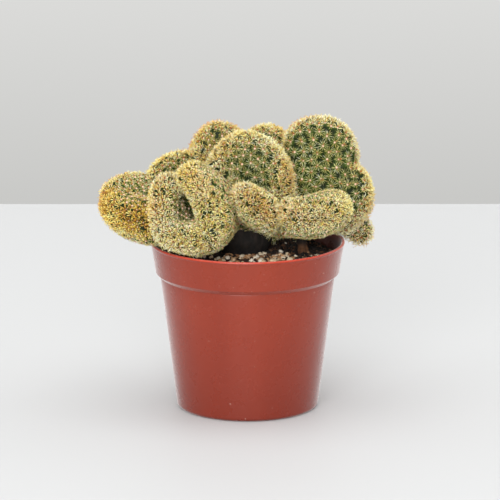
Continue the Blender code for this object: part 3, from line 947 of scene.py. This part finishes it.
def place_areoles(points, spacing, rng):
    """Picks points of the skin at their own spacing, then evens them out. Gives their indices."""
    tree = search_tree(points)
    order = list(range(len(points)))
    rng.shuffle(order)
    taken, picked = set(), []
    for index in order:
        if index not in taken and points[index][2] > LOWEST_AREOLE:
            picked.append(index)
            reach = spacing[index] * PICKING_SHARE
            taken.update(near for _, near, _ in tree.find_range(points[index], reach))
    weights = spacing ** SMALL_CELL_WEIGHT
    places = points[picked]
    for _ in range(RELAX_ROUNDS):
        seeds = search_tree(places)
        nearest = np.array([seeds.find(point)[1] for point in points])
        total = np.bincount(nearest, weights, len(places))
        sums = [np.bincount(nearest, weights * points[:, axis], len(places)) for axis in range(3)]
        middle = np.stack(sums, 1) / np.maximum(total, TINY)[:, None]
        rows = [tree.find(place)[1] for place in middle]
        places = points[rows]
    return np.array([row for row in sorted(set(rows)) if points[row][2] > LOWEST_AREOLE])


def openness(points, normals, tree, rng):
    """How free the view is round each place, from 0 in a tight crease to 1 on an open face, made lower
    round the coil's hollow, which sinks it and deepens its painted shade.
    """
    shares = []
    for point, normal in zip(points, normals):
        normal = Vector(normal)
        start = Vector(point) + normal * VIEW_START
        total = 0.0
        for _ in range(VIEW_RAYS):
            way = (normal * VIEW_LEAN + random_way(rng)).normalized()
            hit = tree.ray_cast(start, way, VIEW_REACH)
            total += 1 if hit[0] is None else hit[3] / VIEW_REACH
        shares.append(total / VIEW_RAYS)
    # Painted shade: lower openness round the coil's hollow.
    to_hollow = np.linalg.norm(points - HOLLOW_CENTRE, axis=1) / HOLLOW_RADIUS
    return np.array(shares) * (1 - HOLLOW_SHADE * np.exp(-(to_hollow ** 2)))


def raise_tubercles(skin, areoles, growth, rng):
    """Raises a rounded knob under each areole, deepens the creases, and stores what the material needs."""
    points, normals = points_and_normals(skin)
    folds, away, _ = growth.read(points)
    spacing = growth.spacing(folds, away)
    free = openness(points[areoles], normals[areoles], surface_tree(skin), rng)
    seeds = search_tree(points[areoles])
    found = [seeds.find_n(point, AREOLE_NEIGHBOURS) for point in points]
    near = np.array([[hit[1] for hit in hits] for hits in found])
    gaps = np.array([[hit[2] for hit in hits] for hits in found])
    shares = 1 / (gaps + BLEND_SOFTNESS)
    own_free = np.sum(free[near] * shares, axis=1) / np.sum(shares, axis=1)
    own_spacing = spacing[areoles[near[:, 0]]]
    relief = 1 - np.clip(gaps[:, 0] / (TUBERCLE_REACH * own_spacing), 0, 1) ** TUBERCLE_ROUNDNESS
    height = TUBERCLE_RISE * own_spacing * smooth_step(*TUBERCLE_VIEW, own_free)
    deepening = CREASE_DEPTH * (1 - smooth_step(*CREASE_VIEW, own_free))
    moved = points + normals * (height * (relief - TUBERCLE_SINK) - deepening)[:, None]
    move_points(skin, moved)
    set_values(skin, "relief", relief)
    set_values(skin, "young", 1 - smooth_step(*FRESH_ZONE, away))
    set_values(skin, "free", own_free)
    return moved[areoles], normals[areoles], free


def frames(normals, towards, rng):
    """For each areole, the direction up the skin to the growing line and the one across it."""
    loose = np.array([[rng.uniform(-1, 1) for _ in range(3)] for _ in normals]) * FRAME_LOOSENESS
    up = unit(towards) + loose
    up = unit(up - normals * np.sum(up * normals, axis=1, keepdims=True))
    return up, np.cross(normals, up)


def make_spikes(name, rows, rings, values, material):
    """Closed three-sided spikes as one piece, each from a row with the values of one spike.

    The rings tell which place in a row is the middle of a ring of corners, and how far along the spike
    it lies. The tip comes last.
    """
    columns = {key: np.array([row[key] for row in rows]) for key in rows[0]}
    way = unit(columns["tip"] - columns["root"])
    helper = np.where(np.abs(way[:, 2:3]) < UPRIGHT, [[0.0, 0.0, 1.0]], [[1.0, 0.0, 0.0]])
    side = unit(np.cross(way, helper))
    other = np.cross(way, side)
    offsets = [(side * math.cos(t) + other * math.sin(t)) * columns["radius"][:, None] for t in turns(3)]
    corners = [columns[ring] + offset for ring in rings for offset in offsets] + [columns["tip"]]
    top = 3 * len(rings) - 3
    point = [(top + k, top + (k + 1) % 3, top + 3) for k in range(3)]
    pattern = [(2, 1, 0), *wall_faces(len(rings), 3), *point]
    faces = [tuple(len(corners) * n + k for k in face) for n in range(len(rows)) for face in pattern]
    obj = from_arrays(name, np.stack(corners, 1).reshape(-1, 3), faces, material)
    along = [share for share in rings.values() for _ in range(3)] + [1]
    set_values(obj, "along", np.tile(along, len(rows)))
    for value in values:
        set_values(obj, value, np.repeat(columns[value], len(corners)))
    return obj


def radial_spines(areole, rng):
    """The radial spines of one areole: a low star on the faces, a dense upright brush on the ridges."""
    under = max(0, -areole["normal"][2])
    count = RADIAL_COUNT - UNDERSIDE_FEWER * under
    count = round(count + rng.uniform(-RADIAL_COUNT_SPREAD, RADIAL_COUNT_SPREAD))
    if areole["free"] < CROWDED_VIEW:
        count = round(count * CROWDED_SHARE)
    start = rng.uniform(0, 2 * math.pi)
    rows = []
    for k in range(count):
        turn = start + 2 * math.pi * (k + rng.uniform(-TURN_SPREAD, TURN_SPREAD)) / count
        rows.append(radial_shape(areole, turn, under, rng) | radial_look(areole, rng))
    return rows


def radial_shape(areole, turn, under, rng):
    """One radial spine: it rises from its root and bends back towards the skin."""
    normal, young = areole["normal"], areole["young"]
    out = areole["up"] * math.cos(turn) + areole["across"] * math.sin(turn)
    lift = math.radians(rng.uniform(*FACE_LIFT) * (1 - young) + rng.uniform(*RIDGE_LIFT) * young)
    lift *= 1 - UNDERSIDE_FLATTER * under
    length = rng.uniform(*FACE_LENGTH) * areole["spacing"] + rng.uniform(*RIDGE_LENGTH) * young
    length *= 1 + UNDERSIDE_LONGER * under
    offset = ROOT_OFFSET + rng.uniform(0, RIDGE_ROOT_SPREAD) * young
    root = areole["centre"] + out * offset - normal * ROOT_SINK
    first, last = (out * math.cos(lift + bend) + normal * math.sin(lift + bend) for bend in BEND_ANGLES)
    middle = root + first * length * BEND
    tip = middle + last * length * (1 - BEND)
    return {"root": root, "middle": middle, "tip": tip, "radius": FACE_RADIUS + RIDGE_RADIUS_GAIN * young}


def radial_look(areole, rng):
    """How golden, dark-tipped and light one radial spine is."""
    young = areole["young"]
    gold = min(1, max(0, areole["gold"] + rng.uniform(-GOLD_SPREAD, GOLD_SPREAD)))
    brown = areole["brown"] * rng.random()
    shade = SHARED_SHADE * areole["shade"] + (1 - SHARED_SHADE) * rng.random()
    shade = shade * (OLD_SHADE + YOUNG_SHADE_GAIN * young) + YOUNG_SHADE * young
    if rng.random() < BRIGHT_SHARE + BRIGHT_SHARE_GAIN * young:
        shade += BRIGHT_STEP
    shade -= GOLD_DARKENING * max(0, areole["gold"] - GOLD_DARK_START)
    return {"gold": gold, "brown": brown, "shade": shade, "free": areole["free"]}


def central_spines(areole, rng):
    """The short brown central spines of one areole, on its side towards the growing line."""
    normal, up = areole["normal"], areole["up"]
    rows = []
    for _ in range(rng.choice(CENTRAL_COUNTS)):
        lean = math.radians(rng.uniform(*CENTRAL_LEAN))
        swing = rng.uniform(-CENTRAL_SWING, CENTRAL_SWING)
        out = up * math.cos(swing) + areole["across"] * math.sin(swing)
        way = normal * math.cos(lean) + out * math.sin(lean)
        root = areole["centre"] + up * CENTRAL_RISE + out * CENTRAL_OFFSET - normal * ROOT_SINK
        tip = root + way * rng.uniform(*CENTRAL_LENGTH)
        rows.append({"root": root, "tip": tip, "radius": CENTRAL_RADIUS, "free": areole["free"]})
    return rows


def areole_gold(areole):
    """How golden an areole's spines are: by fold and age, in patches, and hardly on undersides."""
    young = areole["young"]
    patch = GOLD_PATCHES * noise.noise(Vector(areole["centre"]) * GOLD_WAVES)
    gold = areole["fold_gold"] * (FOLD_GOLD + FOLD_GOLD_GAIN * young) + YOUNG_GOLD * young + patch
    return gold * (1 - UNDERSIDE_PALER * max(0, -areole["normal"][2]))


def areole_brown(areole):
    """How dark the tips of an areole's spines may be: most on the newest growth, in patches."""
    patch = BROWN_PATCHES * noise.noise(Vector(areole["centre"]) * BROWN_WAVES + BROWN_SHIFT)
    return max(0, BROWN_BASE + areole["newest"] * (BROWN_MEAN + patch))


def make_spines(centres, normals, free, growth, obstacles, materials, rng):
    """The coat of radial spines in four pieces, all central spines in one, and how young each areole is."""
    folds, away, line = growth.read(centres)
    up, across = frames(normals, line - centres, rng)
    young = 1 - smooth_step(*YOUNG_ZONE, away)
    columns = {
        "centre": centres,
        "normal": normals,
        "up": up,
        "across": across,
        "young": young,
        "newest": 1 - smooth_step(*NEWEST_ZONE, away),
        "free": free,
        "spacing": growth.spacing(folds, away),
        "fold_gold": growth.gold[folds],
    }
    groups = {"spines_left": [], "spines_middle": [], "spines_right": [], "spines_back": []}
    centrals = []
    for values in zip(*columns.values()):
        areole = dict(zip(columns, values))
        areole |= {"gold": areole_gold(areole), "brown": areole_brown(areole), "shade": rng.random()}
        radials = [row for row in radial_spines(areole, rng) if clear_of(row, obstacles)]
        groups[group_name(areole["centre"])].extend(radials)
        centrals.extend(row for row in central_spines(areole, rng) if clear_of(row, obstacles))
    rings, looks = {"root": 0, "middle": BEND}, ("gold", "brown", "shade", "free")
    pieces = [make_spikes(name, rows, rings, looks, materials[0]) for name, rows in groups.items()]
    pieces.append(make_spikes("central_spines", centrals, {"root": 0}, ("free",), materials[1]))
    return pieces, young, up


def group_name(place):
    """The piece that the radial spines at a place belong to."""
    if place[1] > BACK_START:
        return "spines_back"
    if place[0] < -MIDDLE_HALF_WIDTH:
        return "spines_left"
    return "spines_right" if place[0] > MIDDLE_HALF_WIDTH else "spines_middle"


def clear_of(spine, obstacles):
    """True if a straight way from a spine's root to a little past its tip meets none of the obstacles."""
    start = Vector(spine["root"])
    way = Vector(spine["tip"]) - start
    reach = way.length + CLEARANCE
    way.normalize()
    return not any(tree.ray_cast(start, way, reach)[0] for tree in obstacles)


def make_tufts(centres, normals, up, young, material, rng):
    """A small cushion of wool in each areole, low on its side away from the growing line."""
    shape, faces = lump_shape(1)
    tufts = []
    for centre, normal, rise, youth in zip(centres, normals, up, young):
        size = (TUFT_RADIUS - TUFT_RIDGE_LOSS * youth) * rng.uniform(*TUFT_SPREAD)
        across = np.cross(normal, rise)
        place = centre - rise * TUFT_OFFSET + normal * TUFT_RISE
        knob = shape * np.array([[rng.uniform(*TUFT_UNEVENNESS)] for _ in shape])
        spread = knob[:, :1] * across + knob[:, 1:2] * rise + TUFT_FLATNESS * knob[:, 2:] * normal
        tufts.append(place + size * spread)
    return from_copies("areole_wool", tufts, faces, material)


# Pot.


def arc(centre, radius, start, end, points):
    """Points of a circular arc, with angles in degrees."""
    angles = [math.radians(start + (end - start) * k / (points - 1)) for k in range(points)]
    return [(centre[0] + radius * math.cos(a), centre[1] + radius * math.sin(a)) for a in angles]


def straight(start, end, steps):
    """Points along a straight line, without its last one."""
    return [tuple(a + (b - a) * k / steps for a, b in zip(start, end)) for k in range(steps)]


def inner_radius(height):
    """The pot's inner radius at a height, below its rim."""
    return FOOT_RADIUS + (STEP_RADIUS - FOOT_RADIUS) * height / STEP_HEIGHT - WALL


def pot_profile():
    """The pot in section: under its floor, up the outside, over the lip and down the inside."""
    ring_inner = FOOT_RADIUS - FOOT_RING_WIDTH
    under = [
        (0, 0),
        (FOOT_DISC_RADIUS, 0),
        (FOOT_DISC_RADIUS + FOOT_SLOPE, FOOT_RECESS),
        (ring_inner - FOOT_SLOPE, FOOT_RECESS),
        (ring_inner, 0),
    ]
    foot = arc((FOOT_RADIUS - FOOT_ROUNDING, FOOT_ROUNDING), FOOT_ROUNDING, -90, 0, points=9)
    wall = straight(foot[-1], (STEP_RADIUS, STEP_HEIGHT - STEP_ROUNDING), WALL_ROWS)
    step = arc((STEP_RADIUS - STEP_ROUNDING, STEP_HEIGHT), STEP_ROUNDING, 0, 20, points=3)
    shelf = (RIM_RADIUS - STEP_ROUNDING, RIM_HEIGHT)
    band = arc(shelf, STEP_ROUNDING, -60, 0, points=5)
    bead = (LIP_RADIUS - LIP_BEAD, POT_HEIGHT - LIP_BEAD)
    lip = arc(bead, LIP_BEAD, -60, 180, points=14)
    inside = [
        (RIM_INNER_RADIUS, RIM_HEIGHT + WALL),
        (STEP_RADIUS - WALL, STEP_HEIGHT),
        (inner_radius(FLOOR_TOP + FLOOR_ROUNDING), FLOOR_TOP + FLOOR_ROUNDING),
        (inner_radius(FLOOR_TOP) - FLOOR_ROUNDING, FLOOR_TOP),
        (0, FLOOR_TOP),
    ]
    neck = straight(band[-1], lip[0], steps=4)[1:]
    return under + foot + wall[1:] + step + band + neck + lip + inside


def add_ring(bm, radius, height, sides, centre=(0, 0)):
    """A ring of corners round an upright axis, or the one corner on it."""
    if radius == 0:
        return [bm.verts.new((*centre, height))]
    x, y = centre
    places = [(x + radius * math.cos(t), y + radius * math.sin(t), height) for t in turns(sides)]
    return [bm.verts.new(place) for place in places]


def turned(name, profile, sides, material, centre=(0, 0)):
    """A body turned round an upright axis from a profile that starts and ends on that axis."""
    bm = bmesh.new()
    rings = [add_ring(bm, radius, height, sides, centre) for radius, height in profile]
    join_rings(bm, rings)
    return from_bmesh(name, bm, material)


def make_pot(material):
    """The pot with its drain holes, smooth but for its sharp edges."""
    pot = turned("plastic_pot", pot_profile(), POT_SIDES, material)
    low, high = -FLOOR_TOP, 2 * FLOOR_TOP
    drill = [(0, low), (DRAIN_RADIUS, low), (DRAIN_RADIUS, high), (0, high)]
    for angle in turns(DRAIN_COUNT):
        place = (math.cos(angle) * DRAIN_CIRCLE_RADIUS, math.sin(angle) * DRAIN_CIRCLE_RADIUS)
        hole = turned("hole", drill, DRAIN_SIDES, material, place)
        apply_modifier(pot, "BOOLEAN", object=hole, operation="DIFFERENCE", solver="EXACT")
        bpy.data.objects.remove(hole)
    pot.data.shade_smooth()
    pot.data.set_sharp_from_angle(angle=SHARP_ANGLE)
    set_values(pot, "inside", inside_wall(pot))
    return pot


def inside_wall(pot):
    """1 for the points of the pot's inner wall, and 0 for the rest."""
    points, _ = points_and_normals(pot)
    height = points[:, 2]
    rise = (height - RIM_HEIGHT - WALL) / (POT_HEIGHT - RIM_HEIGHT - WALL)
    limit = RIM_INNER_RADIUS + INSIDE_MARGIN + rise * (LIP_RADIUS - 2 * LIP_BEAD - RIM_INNER_RADIUS)
    radius = np.linalg.norm(points[:, :2], axis=1)
    return (height > RIM_HEIGHT) & (height < POT_HEIGHT - INSIDE_TOP * LIP_BEAD) & (radius < limit)


# Soil, grit and collar.


def roughness(point):
    """The height of the soil's roughness at a place, in millimetres."""
    return sum(height * noise.noise(Vector(point) * waves) for waves, height in SOIL_LUMPS)


def make_soil(material):
    """The root ball: its side fits the pot, and its rough top has a hole for the collar."""
    low = FLOOR_TOP + GAP
    outer = RIM_INNER_RADIUS - GAP
    side = [
        (0, low),
        (inner_radius(low) - FLOOR_ROUNDING - GAP, low),
        (inner_radius(low + FLOOR_ROUNDING) - GAP, low + FLOOR_ROUNDING),
        (inner_radius(STEP_HEIGHT) - GAP, STEP_HEIGHT - GAP),
        (outer, RIM_HEIGHT + WALL + GAP),
        (outer, SOIL_TOP - SOIL_EDGE_DROP),
    ]
    bm = bmesh.new()
    rings = [add_ring(bm, radius, height, SOIL_SIDES) for radius, height in side]
    for ring in range(1, SOIL_RINGS + 1):
        share = ring / SOIL_RINGS
        centre = Vector(COLLAR_CENTRE) * share
        corners = add_ring(bm, outer + (SOCKET_RADIUS - outer) * share, SOIL_TOP, SOIL_SIDES, centre)
        for corner in corners:
            corner.co.z += roughness(corner.co)
        rings.append(corners)
    rings.append(add_ring(bm, SOCKET_RADIUS, SOIL_TOP - SOCKET_DEPTH, SOIL_SIDES, COLLAR_CENTRE))
    rings.append(add_ring(bm, 0, SOIL_TOP - SOCKET_DEPTH, SOIL_SIDES, COLLAR_CENTRE))
    join_rings(bm, rings)
    return from_bmesh("soil_bed", bm, material)


def soil_place(rng, size):
    """A place on the soil, clear of the collar and of the pot's wall."""
    reach = RIM_INNER_RADIUS - GAP - size
    while True:
        place = Vector((rng.uniform(-reach, reach), rng.uniform(-reach, reach), SOIL_TOP))
        to_collar = (place.xy - Vector(COLLAR_CENTRE)).length
        if place.xy.length < reach and to_collar > SOCKET_RADIUS + size * LUMP_ROOM:
            place.z += roughness(place)
            return place


def make_lumps(name, places, subdivisions, flatness, raggedness, material, rng):
    """Many rough lumps as one piece. Each place comes with its size and its tone."""
    shape, faces = lump_shape(subdivisions)
    lumps = []
    for place, size, _ in places:
        spin = np.array(random_way(rng).to_track_quat("Z", "Y").to_matrix())
        shift = Vector([rng.uniform(0, LUMP_SHIFT) for _ in range(3)])
        swell = [1 + raggedness * noise.noise(Vector(point) * LUMP_WAVES + shift) for point in shape]
        stretch = (rng.uniform(*LUMP_LENGTH), rng.uniform(*LUMP_WIDTH), rng.uniform(*flatness))
        knob = shape * np.array(swell)[:, None] * np.array([stretch]) * size
        lumps.append(knob @ spin.T + np.array(place))
    pile = from_copies(name, lumps, faces, material)
    set_values(pile, "tone", np.repeat([tone for _, _, tone in places], len(shape)))
    return pile


def strew(count, radii, skew, rise, wanted, rng):
    """Places on the soil, each with a size, mostly near the smaller radius, and a tone."""
    places = []
    while len(places) < count:
        size = radii[0] + (radii[1] - radii[0]) * rng.random() ** skew
        place = soil_place(rng, size)
        if wanted(place, rng):
            places.append((place + Vector((0, 0, size * rng.uniform(*rise))), size, rng.random()))
    return places


def make_crumbs(material, rng):
    """Crumbs of peat all over the soil."""
    places = strew(CRUMB_COUNT, CRUMB_RADIUS, CRUMB_SKEW, CRUMB_RISE, lambda *_: True, rng)
    return make_lumps("peat_crumbs", places, 1, CRUMB_FLATNESS, CRUMB_RAGGEDNESS, material, rng)


def make_grit(material, rng):
    """Stone chips, most of them in one patch."""
    places = strew(GRIT_COUNT, GRIT_RADIUS, GRIT_SKEW, GRIT_RISE, in_grit_patch, rng)
    return make_lumps("grit_chips", places, 2, GRIT_FLATNESS, GRIT_RAGGEDNESS, material, rng)


def in_grit_patch(place, rng):
    """True for most places in the patch of grit and for a few elsewhere."""
    across = (place.x - GRIT_PATCH[0]) / GRIT_SPREAD[0]
    along = (place.y - GRIT_PATCH[1]) / GRIT_SPREAD[1]
    return rng.random() < GRIT_ELSEWHERE + math.exp(-across * across - along * along)


def tube(points, radii, sides):
    """A closed tube through points, as points and faces."""
    ways = [Vector(b) - Vector(a) for a, b in zip(points, points[1:])]
    ways.append(ways[-1])
    rings = []
    for point, radius, way in zip(points, radii, ways):
        side = way.orthogonal().normalized()
        other = way.normalized().cross(side)
        for t in turns(sides):
            rings.append(Vector(point) + side * (radius * math.cos(t)) + other * (radius * math.sin(t)))
    foot, top = tuple(range(sides))[::-1], tuple(range(len(rings) - sides, len(rings)))
    return rings, [*wall_faces(len(points), sides), foot, top]


def make_fibres(material, rng):
    """A few thin roots and peat fibres that lie on the soil."""
    points, faces, tones = [], [], []
    for _ in range(FIBRE_COUNT):
        rings, sides = tube(fibre_path(rng), FIBRE_RADII, FIBRE_SIDES)
        faces.extend(tuple(len(points) + corner for corner in face) for face in sides)
        points.extend(rings)
        tones.extend([rng.uniform(*FIBRE_TONE)] * len(rings))
    fibres = from_arrays("peat_fibres", points, faces, material)
    set_values(fibres, "tone", tones)
    return fibres


def fibre_path(rng):
    """A wandering line just over the soil."""
    place = soil_place(rng, FIBRE_ROOM)
    heading = rng.uniform(0, 2 * math.pi)
    path = []
    for _ in FIBRE_RADII:
        place = place + Vector((math.cos(heading), math.sin(heading), 0)) * FIBRE_STEP
        heading += rng.uniform(-FIBRE_BEND, FIBRE_BEND)
        top = SOIL_TOP + roughness((place.x, place.y, SOIL_TOP))
        path.append((place.x, place.y, top + rng.uniform(*FIBRE_RISE)))
    return path


def make_collar(material):
    """The woody foot of the plant: furrowed bark, from its hole in the soil up into the crest."""
    low, high = COLLAR_PROFILE[0][1], COLLAR_PROFILE[-1][1]
    wall = [tuple(smooth_point(COLLAR_PROFILE, row / COLLAR_ROWS)) for row in range(COLLAR_ROWS + 1)]
    collar = turned("woody_collar", [(0, low), *wall, (0, high)], COLLAR_SIDES, material, COLLAR_CENTRE)
    points, _ = points_and_normals(collar)
    out = unit((points - np.array((*COLLAR_CENTRE, 0))) * np.array((1, 1, 0)))
    furrows = [noise.noise(Vector(point * FURROW_WAVES)) for point in points]
    scales = [noise.noise(Vector(point) * BARK_WAVES) for point in points]
    rise = FURROW_DEPTH * np.minimum(furrows, FURROW_TOP) + BARK_DEPTH * np.array(scales) - BARK_DEPTH
    move_points(collar, points + out * rise[:, None])
    # The whole collar takes the bark's painted shade, as it stands under the crest.
    set_values(collar, "tone", np.zeros(len(points)))
    return collar


def make_stub(material, rng):
    """The cut brown foot of an old offset, from the soil up into the crest. It flares at its foot."""
    path = [smooth_point(STUB_PATH, row / STUB_ROWS) for row in range(STUB_ROWS + 1)]
    radii = []
    for row in range(STUB_ROWS + 1):
        flare = STUB_FLARE * max(0, 1 - row / STUB_FLARE_ROWS)
        radii.append(STUB_RADIUS * (1 + flare + rng.uniform(-STUB_UNEVENNESS, STUB_UNEVENNESS)))
    rings, faces = tube(path, radii, STUB_SIDES)
    rough = []
    for k, point in enumerate(rings):
        out = point - Vector(path[k // STUB_SIDES])
        rough.append(point + out * STUB_DEPTH * noise.noise(point * STUB_WAVES))
    stub = from_arrays("old_stub", rough, faces, material)
    # Painted shade on the stub's top, under the crest.
    set_values(stub, "tone", 1 - smooth_step(*STUB_SHADE, np.array([point.z for point in rough])))
    return stub


# Stage, light and camera.


def make_stage():
    """A plain pale table whose far edge is the line behind the object."""
    nodes = Nodes("table")
    speckle = nodes.noise(300, 3, 0.5)
    colour = nodes.tint(TABLE_COLOUR, nodes.between(speckle, 0.3, 0.7, 0, 0.03), 200, 200, 205)
    nodes.shade(Base_Color=colour, Roughness=0.6)
    near, far, side = -TABLE_REACH, TABLE_BACK_EDGE, TABLE_REACH
    corners = np.array([(-side, near, 0), (side, near, 0), (side, far, 0), (-side, far, 0)])
    floor = from_arrays("table", corners / MM, [(0, 1, 2, 3)], nodes.owner)


def make_lamps():
    """Soft square lamps that face the plant."""
    for name, (place, size, energy) in LAMPS.items():
        lamp = bpy.data.lights.new(name, "AREA")
        lamp.energy = energy
        lamp.size = size
        obj = bpy.data.objects.new(name, lamp)
        bpy.context.scene.collection.objects.link(obj)
        obj.location = place
        obj.rotation_euler = (Vector(place) - Vector(LAMP_AIM)).to_track_quat("Z", "Y").to_euler()


def make_world():
    """A pale surround that grows lighter upwards, which also shows as the wall behind the table."""
    nodes = Nodes("studio", world=True)
    bpy.context.scene.world = nodes.owner
    way = nodes.add("TexCoord").outputs["Generated"]
    height = nodes.add("SeparateXYZ", {"Vector": way}).outputs["Z"]
    nodes.shade(Color=nodes.mix(nodes.between(height, *BACKDROP_FALL), BACKDROP_LOW, BACKDROP_HIGH))


def make_camera():
    """The camera, where the photograph was taken from."""
    camera = bpy.data.cameras.new("camera")
    camera.lens = CAMERA_LENS
    camera.sensor_width = CAMERA_SENSOR
    camera.clip_end = CAMERA_REACH
    obj = bpy.data.objects.new("camera", camera)
    bpy.context.scene.collection.objects.link(obj)
    obj.location = CAMERA_PLACE
    obj.rotation_euler = (math.pi / 2 - CAMERA_PITCH, 0, -CAMERA_YAW)
    bpy.context.scene.camera = obj


def settle(piece, slot, *nodes):
    """A piece of the object stands still and may stand for CAD nodes. The slot is not used."""
    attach(piece, "root")
    if nodes:
        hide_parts(*nodes)


def dress_crest(frame, rng):
    """The plant: its skin with tubercles, then spines and wool, clear of the pot and the soil."""
    surfaces = {name: fold_surface(row[0], row[1]) for name, row in FOLDS.items()}
    growth = Growth(surfaces)
    skin = make_skin(surfaces, skin_material())
    points, _ = points_and_normals(skin)
    folds, away, _ = growth.read(points)
    areoles = place_areoles(points, growth.spacing(folds, away), rng)
    centres, normals, free = raise_tubercles(skin, areoles, growth, rng)
    settle(skin, "crest", "crest")
    obstacles = [surface_tree(frame["nodes"][name]) for name in ("pot", "soil")]
    coats = (spine_material(), central_material())
    spines, young, up = make_spines(centres, normals, free, growth, obstacles, coats, rng)
    for piece in spines:
        settle(piece, "crest")
    settle(make_tufts(centres, normals, up, young, wool_material(), rng), "crest")


def dress_pot(rng):
    """The pot, the soil with what lies on it, and the woody foot of the plant."""
    settle(make_pot(plastic_material()), "pot", "pot")
    settle(make_soil(peat_material()), "soil", "soil")
    settle(make_crumbs(crumb_material(), rng), "soil")
    settle(make_grit(grit_material(), rng), "soil")
    settle(make_fibres(crumb_material(), rng), "soil")
    bark = bark_material()
    settle(make_collar(bark), "crest")
    settle(make_stub(bark, rng), "crest")


def main():
    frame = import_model()
    bpy.context.scene.view_settings.view_transform = "Standard"
    make_camera()
    make_world()
    make_stage()
    make_lamps()
    rng = random.Random(SEED)
    dress_crest(frame, rng)
    dress_pot(rng)


main()
